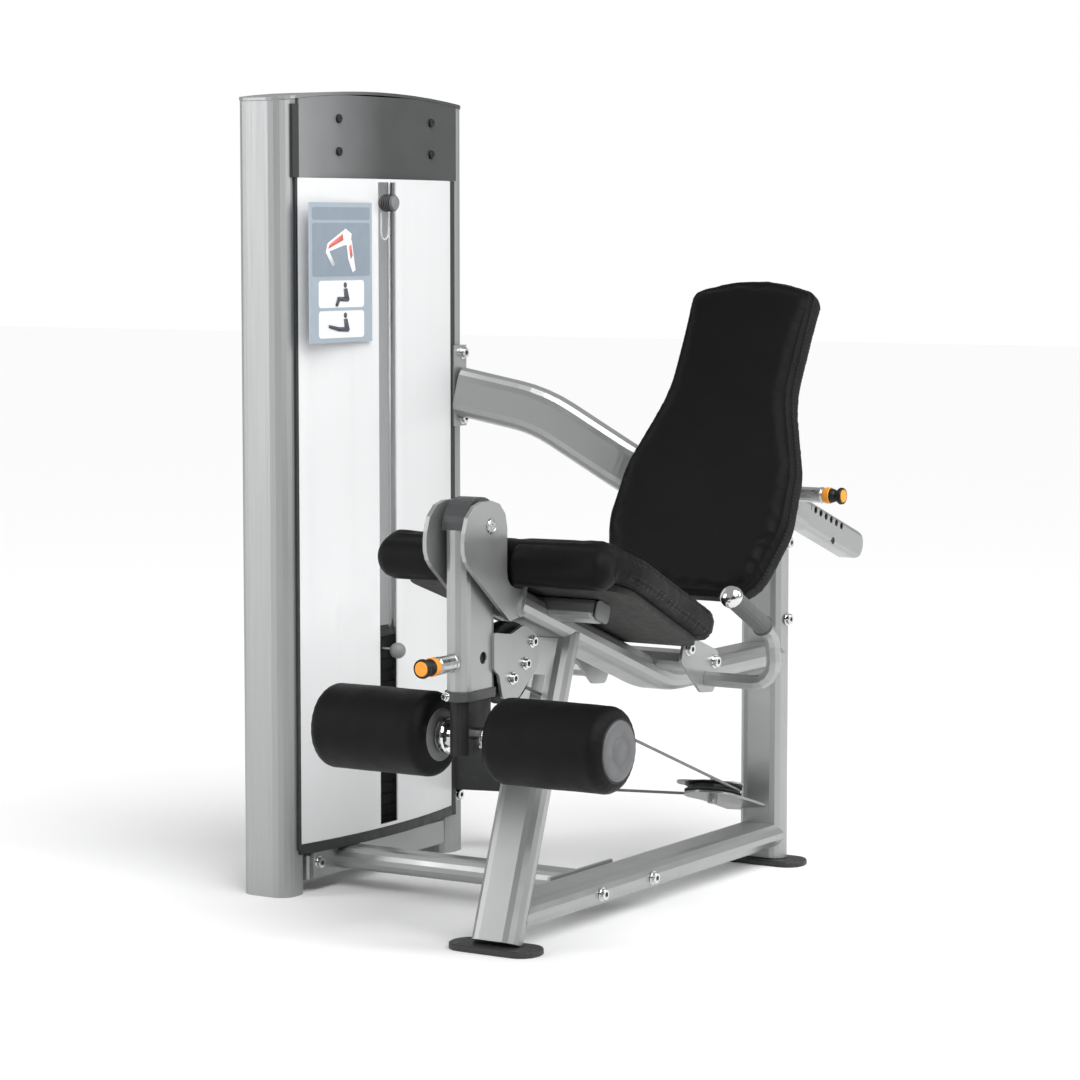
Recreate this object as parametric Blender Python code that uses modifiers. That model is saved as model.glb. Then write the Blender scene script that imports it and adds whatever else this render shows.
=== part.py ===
"""Leg extension machine: a seat and lever on a flat-oval tube frame, with a weight-stack tower at its left.

Metres, +Z up. The user sits facing -Y, and the tower stands on the -X side. The design is drawn from a
point on the floor under the front foot, which the machine empty moves to the model's own frame.
"""
import math

import bmesh
import bpy
from mathutils import Matrix, Vector

# Where the front foot stands, seen from the middle of the machine's floor area.
MACHINE_AT = Vector((0.2145, -0.5829, 0.0))

GAP = 0.0003

# Flat-oval frame tube, 100 x 50 mm.
TUBE_WIDE = 0.100
TUBE_THICK = 0.050
FRONT_LEG_TILT = math.radians(20.0)
FRONT_LEG_FOOT = Vector((0.0, 0.0, 0.0135))
REAR_LEG_Y = 1.010
REAR_LEG_TOP = 0.700
FOOT_THICK = 0.012
BASE_RAIL_Z = 0.060
SEAT_RAIL_SLOPE = math.radians(20.3)
SEAT_RAIL_START = Vector((0.0, 0.022, 0.6278))
SEAT_RAIL_LEVEL_Z = 0.4280
SEAT_RAIL_BEND_R = 0.120

# Lever that the user lifts with the shins.
PIVOT = Vector((0.0, -0.082, 0.768))
LEVER_BOTTOM = 0.479
LEVER_TOP = 0.763
LEVER_DEEP = 0.112
LEVER_THICK = 0.046
LEVER_WALL = 0.0035
SHIN_BAR_DEEP = 0.102
SHIN_BAR_THICK = 0.036
ADJUST_PITCH = 0.025
ADJUST_STEPS = 6
ROLLER_Z = 0.395
ROLLER_R = 0.076
ROLLER_IN = 0.062
ROLLER_OUT = 0.300
LEVER_PIN_Z = 0.532
EAR_X = 0.039
SEAT_NOTCH_Y = -0.014
EAR_THICK = 0.008
AXLE_R = 0.0125
CAM_AT = (0.028, 0.515)
CAM_R = 0.074
POP_PIN_R = 0.005
POP_HOLE_R = 0.0056

# Seat.
SEAT_FRONT = Vector((0.0, 0.0, 0.7435))
SEAT_SLOPE = math.radians(21.0)
SEAT_LENGTH = 0.500
SEAT_THICK = 0.056
SEAT_BOARD_THICK = 0.012

# Back pad and the rail that carries it.
BACK_FOOT = Vector((0.0, 0.643, 0.584))
BACK_TILT = math.radians(27.7)
BACK_LENGTH = 0.673
BACK_THICK = 0.058
RAIL_SLOPE = math.radians(19.4)
RAIL_POINT = Vector((0.0, 1.174, 0.693))
RAIL_HIGH = 0.060
RAIL_WIDE = 0.046
RAIL_FRONT_Y = 0.800
RAIL_REAR_Y = 1.402
RAIL_HOLE_RISE = 0.017
RAIL_HOLE_R = 0.0062
SLEEVE_FRONT_Y = 0.930
SLEEVE_REAR_Y = 1.150
SLEEVE_WALL = 0.005
BACK_PIN_Y = 1.062

# Tower.
TOWER_X = -0.650
COLUMN_FRONT_Y = 0.219
COLUMN_REAR_Y = 0.777
COLUMN_WIDE = 0.110
COLUMN_DEEP = 0.078
TOWER_TOP = 1.530
ARCH_RISE = 0.019
CAP_THICK = 0.006
HEADER_BOTTOM = 1.380
SHROUD_BOTTOM = 0.100
SHROUD_THICK = 0.003
STACK_AT = Vector((-0.650, 0.490, 0.0))
ROD_SPACING = 0.280
PLATE_COUNT = 15
PLATE_PITCH = 0.0226
PLATE_BOTTOM = 0.0900
PLATE_DEEP = 0.400
PLATE_WIDE = 0.108
HEAD_BOTTOM = 0.4295
HEAD_TOP = 0.475
BOSS_TOP = 0.535
SLOT_HALF = 0.030
SHROUD_BULGE = 0.0255

# Cable and its pulleys.
CABLE_R = 0.003
CABLE_SLOPE = math.radians(20.5)
CABLE_IN_LEG = Vector((0.0, 0.1655, 0.4379))
REAR_TANGENT_Y = 0.893
CABLE_TO_TOWER = math.radians(15.8)
RISE_X = -0.636
REAR_PULLEY_R = 0.0525
BASE_PULLEY_R = 0.050
TOP_PULLEY_R = 0.050
TOP_PULLEY_Z = 1.430

for old in list(bpy.data.objects):
    bpy.data.objects.remove(old, do_unlink=True)

MODEL = bpy.data.collections.new("leg_extension_machine")
GUIDES = bpy.data.collections.new("cutters_and_guides")
bpy.context.scene.collection.children.link(MODEL)
bpy.context.scene.collection.children.link(GUIDES)

AXIS_TURN = {
    "X": Matrix.Rotation(math.pi / 2, 4, "Y"),
    "-Y": Matrix.Rotation(math.pi / 2, 4, "X"),
    "Y": Matrix.Rotation(-math.pi / 2, 4, "X"),
    "-X": Matrix.Rotation(-math.pi / 2, 4, "Y"),
    "Z": Matrix.Identity(4),
}


# ---------------------------------------------------------------- helpers

def material(name, colour, roughness, metallic=0.0, alpha=1.0):
    mat = bpy.data.materials.new(name)
    mat.use_nodes = True
    shader = mat.node_tree.nodes["Principled BSDF"]
    shader.inputs["Base Color"].default_value = (*colour, 1.0)
    shader.inputs["Roughness"].default_value = roughness
    shader.inputs["Metallic"].default_value = metallic
    shader.inputs["Alpha"].default_value = alpha
    mat.diffuse_color = (*colour, alpha)
    return mat


def empty(name, at, parent=None):
    """A parent for one moving group, standing on its joint's axis."""
    node = bpy.data.objects.new(name, None)
    MODEL.objects.link(node)
    node.empty_display_size = 0.05
    node["drawn_at"] = tuple(at)
    if parent is None:
        node.location = at
        node["drawn_at"] = (0.0, 0.0, 0.0)
    else:
        node.parent = parent
        node.location = Vector(at) - Vector(parent["drawn_at"])
    return node


def put(name, data, mat, parent, at=(0.0, 0.0, 0.0), turn=None):
    """Place a new object by its drawn position, under the empty of its moving group."""
    obj = bpy.data.objects.new(name, data)
    MODEL.objects.link(obj)
    obj.parent = parent
    obj.location = Vector(at) - Vector(parent["drawn_at"])
    if turn is not None:
        obj.rotation_euler = turn.to_euler()
    if mat is not None:
        data.materials.append(mat)
    if isinstance(data, bpy.types.Mesh):
        data.shade_smooth()
        data.set_sharp_from_angle(angle=math.radians(35))
    return obj


def round_edges(obj, width, segments=2, angle=35):
    bevel = obj.modifiers.new("rounded_edges", "BEVEL")
    bevel.width = width
    bevel.segments = segments
    bevel.limit_method = "ANGLE"
    bevel.angle_limit = math.radians(angle)
    return obj


def box(name, size, at, mat, parent, turn=None, bevel=0.0, segments=1):
    mesh = bpy.data.meshes.new(name)
    shape = bmesh.new()
    bmesh.ops.create_cube(shape, size=1.0)
    bmesh.ops.scale(shape, vec=Vector(size), verts=shape.verts)
    shape.to_mesh(mesh)
    shape.free()
    obj = put(name, mesh, mat, parent, at, turn)
    if bevel:
        round_edges(obj, bevel, segments)
    return obj


def cylinder(name, radius, length, at, axis, mat, parent, sides=16, bevel=0.0, turn=None):
    """A cylinder centred on its place, along the named axis or a given turn."""
    mesh = bpy.data.meshes.new(name)
    shape = bmesh.new()
    bmesh.ops.create_cone(shape, cap_ends=True, segments=sides, radius1=radius, radius2=radius,
                          depth=length)
    shape.to_mesh(mesh)
    shape.free()
    obj = put(name, mesh, mat, parent, at, turn or AXIS_TURN[axis])
    if bevel:
        round_edges(obj, bevel, 1)
    return obj


def turned(name, profile, at, axis, mat, parent, steps=20, turn=None):
    """A turned piece: its profile is (radius, height) points, top to bottom down the outer side."""
    mesh = bpy.data.meshes.new(name)
    points = [(radius, 0.0, height) for radius, height in profile]
    edges = [(i, i + 1) for i in range(len(points) - 1)]
    if profile[0][0] > 0.0:
        edges.append((len(points) - 1, 0))
    mesh.from_pydata(points, edges, [])
    obj = put(name, mesh, mat, parent, at, turn or AXIS_TURN[axis])
    screw = obj.modifiers.new("turned", "SCREW")
    screw.steps = steps
    screw.render_steps = steps
    screw.use_merge_vertices = True
    screw.merge_threshold = 0.00001
    screw.use_smooth_shade = True
    return obj


def arc(centre, radius, start, end, count):
    """Points on an arc, angles in degrees."""
    cx, cy = centre
    turn = [math.radians(start + (end - start) * i / count) for i in range(count + 1)]
    return [(cx + radius * math.cos(a), cy + radius * math.sin(a)) for a in turn]


def rounded(corners, steps=3):
    """The outline through (x, y, radius) corners, each rounded by an arc of its radius."""
    outline = []
    total = len(corners)
    for i, (x, y, radius) in enumerate(corners):
        here = Vector((x, y))
        before = Vector(corners[i - 1][:2]) - here
        after = Vector(corners[(i + 1) % total][:2]) - here
        if radius == 0.0:
            outline.append((x, y))
            continue
        half = before.angle(after) / 2
        reach = radius / math.tan(half)
        middle = here + (before.normalized() + after.normalized()).normalized() * radius / math.sin(half)
        first = here + before.normalized() * reach - middle
        last = here + after.normalized() * reach - middle
        sweep = first.angle_signed(last)
        for k in range(steps + 1):
            spoke = first.copy()
            spoke.rotate(Matrix.Rotation(-sweep * k / steps, 2))
            outline.append(tuple(middle + spoke))
    return outline


def oval(width, height, steps=7):
    """A flat oval, its round ends at plus and minus x."""
    radius = height / 2
    flat = width / 2 - radius
    return arc((flat, 0.0), radius, -90, 90, steps) + arc((-flat, 0.0), radius, 90, 270, steps)


def outline_curve(name, loops, half_thick=0.0):
    data = bpy.data.curves.new(name, "CURVE")
    data.dimensions = "2D"
    data.fill_mode = "BOTH"
    data.extrude = half_thick
    for loop in loops:
        spline = data.splines.new("POLY")
        spline.points.add(len(loop) - 1)
        for point, (x, y) in zip(spline.points, loop):
            point.co = (x, y, 0.0, 1.0)
        spline.use_cyclic_u = True
    return data


def plate(name, loops, thick, at, mat, parent, turn=None):
    """A flat piece cut to an outline, with holes as further loops, centred on its thickness."""
    return put(name, outline_curve(name, loops, thick / 2), mat, parent, at, turn)


def side_plate(name, loops, thick, x, mat, parent):
    """A plate drawn in (y, z) that stands across X, centred on x."""
    turn = Matrix(((0, 0, 1, 0), (1, 0, 0, 0), (0, 1, 0, 0), (0, 0, 0, 1)))
    return plate(name, loops, thick, (x, 0.0, 0.0), mat, parent, turn)


def route(name, points, radius, mat, parent, resolution=2):
    """A round tube or wire through its points."""
    data = bpy.data.curves.new(name, "CURVE")
    data.dimensions = "3D"
    data.bevel_depth = radius
    data.bevel_resolution = resolution
    data.use_fill_caps = True
    spline = data.splines.new("POLY")
    spline.points.add(len(points) - 1)
    for point, place in zip(spline.points, points):
        point.co = (*place, 1.0)
    return put(name, data, mat, parent)


def swept_oval(name, points, outline, mat, parent):
    """A flat-oval tube through its points, its flats facing up where it runs level."""
    section = bpy.data.objects.new(name + "_section", outline_curve(name + "_section", [outline]))
    section.data.fill_mode = "NONE"
    GUIDES.objects.link(section)
    section.hide_render = True
    section.display_type = "WIRE"
    data = bpy.data.curves.new(name, "CURVE")
    data.dimensions = "3D"
    data.twist_mode = "Z_UP"
    data.bevel_mode = "OBJECT"
    data.bevel_object = section
    data.use_fill_caps = True
    spline = data.splines.new("POLY")
    spline.points.add(len(points) - 1)
    for point, place in zip(spline.points, points):
        point.co = (*place, 1.0)
    return put(name, data, mat, parent)


def bent(points, radius, steps=4):
    """A path of straight runs, each inner corner rounded by an arc of the radius."""
    path = [Vector(points[0])]
    for before, corner, after in zip(points, points[1:], points[2:]):
        corner = Vector(corner)
        back = (Vector(before) - corner).normalized()
        ahead = (Vector(after) - corner).normalized()
        half = back.angle(ahead) / 2
        reach = radius / math.tan(half)
        middle = corner + (back + ahead).normalized() * radius / math.sin(half)
        first = (corner + back * reach - middle).normalized()
        last = (corner + ahead * reach - middle).normalized()
        for k in range(steps + 1):
            path.append(middle + first.slerp(last, k / steps) * radius)
    path.append(Vector(points[-1]))
    return path


def as_mesh(obj):
    """The object as a plain welded mesh of the same name and place."""
    bpy.context.view_layer.update()
    ready = obj.evaluated_get(bpy.context.evaluated_depsgraph_get())
    mesh = bpy.data.meshes.new_from_object(ready)
    shape = bmesh.new()
    shape.from_mesh(mesh)
    bmesh.ops.remove_doubles(shape, verts=shape.verts, dist=0.00002)
    bmesh.ops.recalc_face_normals(shape, faces=shape.faces)
    shape.to_mesh(mesh)
    shape.free()
    name = obj.name
    solid = bpy.data.objects.new(name + "_solid", mesh)
    collection = obj.users_collection[0]
    collection.objects.link(solid)
    solid.parent = obj.parent
    solid.matrix_basis = obj.matrix_basis.copy()
    bpy.data.objects.remove(obj, do_unlink=True)
    solid.name = name
    mesh.shade_smooth()
    mesh.set_sharp_from_angle(angle=math.radians(35))
    return solid


def welded(name, pieces):
    """One body made of pieces that overlap, named for what it is."""
    lead = as_mesh(pieces[0])
    for piece in pieces[1:]:
        cut(lead, as_cutter(as_mesh(piece)), "UNION")
    lead.name = name
    return lead


def row_of_cutters(name, pieces):
    """Several separate cutters as one object."""
    solids = [as_mesh(piece) for piece in pieces]
    bpy.context.view_layer.update()
    lead = solids[0]
    shape = bmesh.new()
    for solid in solids:
        solid.data.transform(lead.matrix_world.inverted() @ solid.matrix_world)
        shape.from_mesh(solid.data)
    shape.to_mesh(lead.data)
    shape.free()
    for solid in solids[1:]:
        bpy.data.objects.remove(solid, do_unlink=True)
    lead.name = name
    return as_cutter(lead)


def as_cutter(obj):
    for collection in list(obj.users_collection):
        collection.objects.unlink(obj)
    GUIDES.objects.link(obj)
    obj.hide_render = True
    obj.display_type = "WIRE"
    return obj


def grown(obj, by=GAP):
    """A cutter of the object's own shape, larger all round by the running gap."""
    bpy.context.view_layer.update()
    mesh = obj.data.copy()
    shape = bmesh.new()
    shape.from_mesh(mesh)
    shape.normal_update()
    moves = []
    for vert in shape.verts:
        moves.append(vert.normal * by * vert.calc_shell_factor())
    for vert, move in zip(shape.verts, moves):
        vert.co += move
    shape.to_mesh(mesh)
    shape.free()
    copy = bpy.data.objects.new(obj.name + "_room", mesh)
    GUIDES.objects.link(copy)
    copy.parent = obj.parent
    copy.matrix_basis = obj.matrix_basis.copy()
    copy.hide_render = True
    copy.display_type = "WIRE"
    return copy


def cut(obj, cutter, operation="DIFFERENCE"):
    step = obj.modifiers.new(operation.lower(), "BOOLEAN")
    step.operation = operation
    step.solver = "EXACT"
    step.object = cutter
    return obj


def bolt_on(host, at, axis, size=0.0095, high=0.008):
    """Add a hex head to its host, sunk a little into the face at its place."""
    sunk = 0.002
    out = AXIS_TURN[axis].to_3x3() @ Vector((0, 0, 1))
    head = cylinder(host.name + "_bolt", size, high + sunk, Vector(at) + out * (high - sunk) / 2, axis,
                    None,
                    host.parent, 6)
    return cut(host, as_cutter(head), "UNION")



SILVER = material("silver_paint", (0.58, 0.59, 0.59), 0.35, 0.6)
ALUMINIUM = material("brushed_aluminium", (0.62, 0.62, 0.63), 0.3, 1.0)
HEADER_GREY = material("header_grey", (0.13, 0.13, 0.135), 0.4, 0.6)
DARK_GREY = material("dark_grey_paint", (0.09, 0.09, 0.092), 0.45, 0.3)
BLACK_PLASTIC = material("black_plastic", (0.02, 0.02, 0.021), 0.45)
GREY_PLASTIC = material("grey_plastic", (0.12, 0.12, 0.125), 0.45)
VINYL = material("black_vinyl", (0.014, 0.014, 0.015), 0.5)
FROSTED = material("frosted_panel", (0.86, 0.87, 0.88), 0.5, 0.0, 0.5)
CHROME = material("chrome", (0.75, 0.75, 0.76), 0.08, 1.0)
BLACK_STEEL = material("black_steel", (0.03, 0.03, 0.032), 0.5, 0.5)
RUBBER = material("rubber_grip", (0.10, 0.10, 0.102), 0.7)
CABLE_COAT = material("cable_coat", (0.10, 0.10, 0.105), 0.4)
BOARD = material("board", (0.03, 0.03, 0.03), 0.8)
CARD = material("card", (0.45, 0.50, 0.56), 0.6)

machine = empty("machine", MACHINE_AT)
lever = empty("lever_pivot", PIVOT, machine)
shin = empty("shin_carriage", PIVOT, lever)
ROLLER_AXIS = Vector((0.0, PIVOT.y, ROLLER_Z))
roller_left = empty("roller_left_axis", ROLLER_AXIS, shin)
roller_right = empty("roller_right_axis", ROLLER_AXIS, shin)
stack_head = empty("stack_head", STACK_AT, machine)
back = empty("back_carriage", RAIL_POINT, machine)

RAIL_DIR = Vector((0.0, math.cos(RAIL_SLOPE), -math.sin(RAIL_SLOPE)))
RAIL_UP = Vector((0.0, math.sin(RAIL_SLOPE), math.cos(RAIL_SLOPE)))
RAIL_TURN = Matrix.Rotation(-math.pi / 2 - RAIL_SLOPE, 4, "X")


def on_rail(y):
    """The point of the back rail's axis at this y."""
    return RAIL_POINT + RAIL_DIR * ((y - RAIL_POINT.y) / RAIL_DIR.y)


# ---------------------------------------------------------------- frame tubes

leg_dir = Vector((0.0, math.sin(FRONT_LEG_TILT), math.cos(FRONT_LEG_TILT)))
LEG_LENGTH = 0.586
front_leg = as_mesh(plate("front_leg", [oval(TUBE_WIDE, TUBE_THICK)], LEG_LENGTH,
                          FRONT_LEG_FOOT + Vector((0, 0.003, 0)) + leg_dir * LEG_LENGTH / 2, SILVER,
                          machine,
                          Matrix.Rotation(-FRONT_LEG_TILT, 4, "X")))
level_floor = as_cutter(box("leg_foot_cut", (0.2, 0.2, 0.1), (0, 0, FRONT_LEG_FOOT.z - 0.05), None,
                            machine))
cut(front_leg, level_floor)
slot = as_cutter(box("cable_slot_cut", (0.024, 0.16, 0.080), (0, 0.172, 0.440), None, machine))
cut(front_leg, slot)

seat_rail = as_mesh(swept_oval("seat_rail", bent([
    SEAT_RAIL_START,
    (0, SEAT_RAIL_START.y + (SEAT_RAIL_START.z - SEAT_RAIL_LEVEL_Z) / math.tan(SEAT_RAIL_SLOPE),
     SEAT_RAIL_LEVEL_Z),
    (0, REAR_LEG_Y, SEAT_RAIL_LEVEL_Z)], 0.25), oval(TUBE_WIDE, TUBE_THICK), SILVER, machine))
cut(front_leg, grown(seat_rail))

rear_leg = as_mesh(plate("rear_leg", [oval(TUBE_WIDE, TUBE_THICK)], REAR_LEG_TOP + 0.022 - FRONT_LEG_FOOT.z,
                         (0, REAR_LEG_Y, (REAR_LEG_TOP + 0.022 + FRONT_LEG_FOOT.z) / 2), SILVER, machine))
base_rail = as_mesh(plate("base_rail", [oval(TUBE_WIDE, TUBE_THICK)], REAR_LEG_Y - 0.024,
                          (0, (REAR_LEG_Y + 0.024) / 2, BASE_RAIL_Z), SILVER, machine, AXIS_TURN["Y"]))
cut(base_rail, grown(front_leg))
rear_leg_room = grown(rear_leg)
cut(base_rail, rear_leg_room)
cut(seat_rail, rear_leg_room)

upper_brace = as_mesh(swept_oval("upper_brace", bent([
    (-0.5890, 0.781, 0.953), (-0.420, 0.825, 0.916), (-0.250, 0.875, 0.806), (-0.015, 0.990, 0.650)], 0.30),
    [(y, x) for x, y in reversed(oval(TUBE_WIDE, TUBE_THICK))], SILVER, machine))
cut(upper_brace, rear_leg_room)
column_face = TOWER_X + COLUMN_WIDE / 2
brace_plate = box("brace_plate", (0.009, 0.046, 0.165), (column_face + GAP + 0.0045, 0.781, 0.9645), SILVER,
                  machine)
cut(upper_brace, as_cutter(brace_plate), "UNION")
cut(upper_brace, as_cutter(box("column_plane", (0.3, 0.3, 0.3), (column_face + GAP - 0.15, 0.781, 0.95),
                               None, machine)))
for z in (0.898, 1.031):
    bolt_on(upper_brace, (column_face + GAP + 0.009, 0.790, z), "X")

CROSS_Y = 0.375
base_cross_tube = plate("base_cross_tube", [oval(0.075, 0.045)], 0.541,
                        (-0.3240, CROSS_Y, 0.056), SILVER, machine,
                        Matrix(((0, 0, 1, 0), (1, 0, 0, 0), (0, 1, 0, 0), (0, 0, 0, 1))))
beam_face = TOWER_X + 0.052 + GAP
beam_plate = box("beam_plate", (0.007, 0.165, 0.052), (beam_face + 0.0035, CROSS_Y - 0.026, 0.052), SILVER,
                 machine)
rail_plate = box("rail_plate", (0.007, 0.225, 0.046), (-TUBE_WIDE / 2 - GAP - 0.0035, 0.379, BASE_RAIL_Z),
                 SILVER,
                 machine)
base_cross_tube = welded("base_cross_tube", [base_cross_tube, beam_plate, rail_plate])
bolt_on(base_cross_tube, (beam_face + 0.007, 0.283, 0.056), "X")
for y in (0.285, 0.473):
    bolt_on(base_rail, (TUBE_WIDE / 2, y, BASE_RAIL_Z), "X")
for z in (0.500, 0.655):
    bolt_on(rear_leg, (TUBE_WIDE / 2, REAR_LEG_Y, z), "X")

# Feet: plates with rounded ends and a raised lip.
for word, foot_y in (("front_foot", 0.0), ("rear_foot", REAR_LEG_Y)):
    outline = rounded([(-0.092, -0.040, 0.036), (0.092, -0.040, 0.036), (0.092, 0.040, 0.036),
                       (-0.092, 0.040, 0.036)], 4)
    foot = as_mesh(plate(word, [outline], FOOT_THICK, (0, foot_y, FOOT_THICK / 2), DARK_GREY, machine))
    round_edges(foot, 0.004, 1)

# ---------------------------------------------------------------- yoke and seat supports

ears = []
for side in (-1, 1):
    ears.append(as_mesh(side_plate("ear", [
        rounded([(0.030, 0.647, 0.0), (-0.030, 0.659, 0.030), (-0.028, 0.812, 0.050),
                 (-0.158, 0.812, 0.058),
                 (-0.170, 0.716, 0.050), (-0.020, 0.596, 0.012), (0.028, 0.603, 0.0)]),
        arc((PIVOT.y, PIVOT.z), AXLE_R + 0.0010, 0, 330, 11)], EAR_THICK, side * EAR_X, SILVER, machine)))
flange_at = SEAT_RAIL_START - Vector((0, math.cos(SEAT_RAIL_SLOPE),
                                      -math.sin(SEAT_RAIL_SLOPE))) * (0.005 + GAP)
flange = box("flange", (0.096, 0.010, 0.060), flange_at, SILVER, machine,
             Matrix.Rotation(-SEAT_RAIL_SLOPE, 4, "X"))
yoke = ears[0]
cut(yoke, as_cutter(ears[1]), "UNION")
cut(yoke, as_cutter(flange), "UNION")
cut(yoke, grown(seat_rail))
yoke.name = "yoke"

AXLE_PROFILE = [(0.0, 0.0450), (AXLE_R - 0.001, 0.0450), (AXLE_R, 0.0440), (AXLE_R, 0.0345),
                (0.021, 0.0345),
                (0.021, 0.0240), (AXLE_R, 0.0240), (AXLE_R, -0.0240), (0.021, -0.0240), (0.021, -0.0345),
                (AXLE_R, -0.0345), (AXLE_R, -0.0440), (AXLE_R - 0.001, -0.0450), (0.0, -0.0450)]
turned("pivot_axle", AXLE_PROFILE, PIVOT, "X", CHROME, machine, 18)

SEAT_DIR = Vector((0.0, math.cos(SEAT_SLOPE), -math.sin(SEAT_SLOPE)))
SEAT_UP = Vector((0.0, math.sin(SEAT_SLOPE), math.cos(SEAT_SLOPE)))
SEAT_TURN = Matrix.Rotation(-SEAT_SLOPE, 4, "X")


def on_seat(along, up):
    """A point under the seat, by its distance down the seat's slope and above its top face."""
    return SEAT_FRONT + SEAT_DIR * along + SEAT_UP * up


def mirrored(half):
    """The whole outline whose right half is given from front to rear."""
    return half + [(-x, y, radius) for x, y, radius in reversed(half)]


seat_body = as_mesh(plate("seat_pad", [rounded(mirrored([
    (0.242, -0.004, 0.045), (0.264, 0.100, 0.200), (0.212, SEAT_LENGTH - 0.012, 0.055)]))], SEAT_THICK,
    on_seat(0, -SEAT_THICK / 2), VINYL, machine, SEAT_TURN))
round_edges(seat_body, 0.012, 1)
roll = as_cutter(cylinder("seat_roll", 0.041, 0.490, on_seat(0.020, -0.043), "X", None, machine, 20, 0.018))
cut(seat_body, roll, "UNION")
notch_half = EAR_X + EAR_THICK / 2 + 0.001
cut(seat_body, as_cutter(box("yoke_notch", (2 * notch_half, 0.100, 0.200), (0, SEAT_NOTCH_Y - 0.050, 0.700),
                             None,
                             machine)))

BOARD_MIDDLE = -SEAT_THICK - GAP - SEAT_BOARD_THICK / 2
plate("seat_board", [rounded(mirrored([(0.215, 0.075, 0.030), (0.232, 0.110, 0.050),
                                       (0.185, 0.462, 0.040)]))],
      SEAT_BOARD_THICK, on_seat(0, BOARD_MIDDLE), BOARD, machine, SEAT_TURN)

TUBE_HIGH = 0.036
tube_at = on_seat(0.161, BOARD_MIDDLE - 0.0063 - TUBE_HIGH / 2)
seat_cross_tube = box("seat_cross_tube", (0.292, 0.050, TUBE_HIGH), tube_at, SILVER, machine, SEAT_TURN,
                      0.010, 2)
rail_room = grown(seat_rail)
cut(seat_cross_tube, rail_room)

# ---------------------------------------------------------------- handles

HANDLE_PLATE_X = 0.119
HANDLE_BAR_R = 0.014
HANDLE_BEND = Vector((0.268, 0.548, 0.436))
GRIP_START = Vector((0.262, 0.512, 0.548))
GRIP_END = Vector((0.262, 0.392, 0.612))
handle_bracket = box("handle_bracket", (0.236, 0.050, TUBE_HIGH), (0.0, 0.505, 0.4735), SILVER, machine,
                     SEAT_TURN,
                     0.010, 2)
cut(handle_bracket, rail_room)
for side, word, out in ((-1, "left", "-X"), (1, "right", "X")):
    flip = Vector((side, 1, 1))
    cheek = as_mesh(side_plate("cheek", [rounded([
        (0.468, 0.530, 0.012), (0.590, 0.486, 0.012), (0.604, 0.452, 0.010), (0.574, 0.408, 0.012),
        (0.528, 0.412, 0.012), (0.450, 0.478, 0.012)], 3)], 0.006, side * HANDLE_PLATE_X, None, machine))
    cut(handle_bracket, as_cutter(cheek), "UNION")
    for y, z in ((0.478, 0.500), (0.578, 0.466)):
        bolt_on(handle_bracket, (side * (HANDLE_PLATE_X + 0.003), y, z), out)
    start = Vector((HANDLE_PLATE_X + 0.003 + GAP, HANDLE_BEND.y, HANDLE_BEND.z))
    grip_dir = (GRIP_END - GRIP_START).normalized()
    knee = GRIP_START - grip_dir * 0.0385
    path = bent([start, HANDLE_BEND, knee, GRIP_END], 0.040)
    route("handle_bar_" + word, [point * flip for point in path], HANDLE_BAR_R, SILVER, machine, 2)
    to_grip = Vector((0, 0, 1)).rotation_difference(grip_dir * flip).to_matrix().to_4x4()
    half = (GRIP_END - GRIP_START).length / 2
    inner = HANDLE_BAR_R + GAP
    turned("handle_grip_" + word, [
        (0.0, half + 0.020), (0.012, half + 0.018), (0.019, half + 0.011), (0.0205, half + 0.003),
        (0.0182, half - 0.001), (0.0182, -half), (inner, -half), (inner, half + GAP), (0.0, half + GAP)],
        (GRIP_START + GRIP_END) / 2 * flip, None, RUBBER, machine, 16, to_grip)

# ---------------------------------------------------------------- back pad and rail

SLEEVE_HIGH = RAIL_HIGH + 2 * SLEEVE_WALL + 0.001
SLEEVE_WIDE = RAIL_WIDE + 2 * SLEEVE_WALL + 0.001


def rounded_box(width, height, radius, steps=3):
    x, y = width / 2, height / 2
    return rounded([(-x, -y, radius), (x, -y, radius), (x, y, radius), (-x, y, radius)], steps)


sleeve_length = (SLEEVE_REAR_Y - SLEEVE_FRONT_Y) / RAIL_DIR.y
sleeve_middle = on_rail((SLEEVE_REAR_Y + SLEEVE_FRONT_Y) / 2)
back_sleeve = as_mesh(plate("back_sleeve", [
    rounded_box(SLEEVE_WIDE, SLEEVE_HIGH, 0.018), rounded_box(RAIL_WIDE + 0.001, RAIL_HIGH + 0.001, 0.008)],
    sleeve_length, sleeve_middle, SILVER, machine, RAIL_TURN))
sleeve_room = as_cutter(as_mesh(plate("sleeve_room", [
    rounded_box(SLEEVE_WIDE + 2 * GAP, SLEEVE_HIGH + 2 * GAP, 0.018)], sleeve_length + 0.02, sleeve_middle,
    None, machine, RAIL_TURN)))
cut(rear_leg, sleeve_room)
cut(upper_brace, sleeve_room)

back_pin_at = on_rail(BACK_PIN_Y) + RAIL_UP * RAIL_HOLE_RISE
pin_hole = as_cutter(cylinder("back_pin_hole", POP_HOLE_R, 0.06, back_pin_at + Vector((0.03, 0, 0)), "X",
                              None,
                              machine, 12))
cut(back_sleeve, pin_hole)

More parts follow.
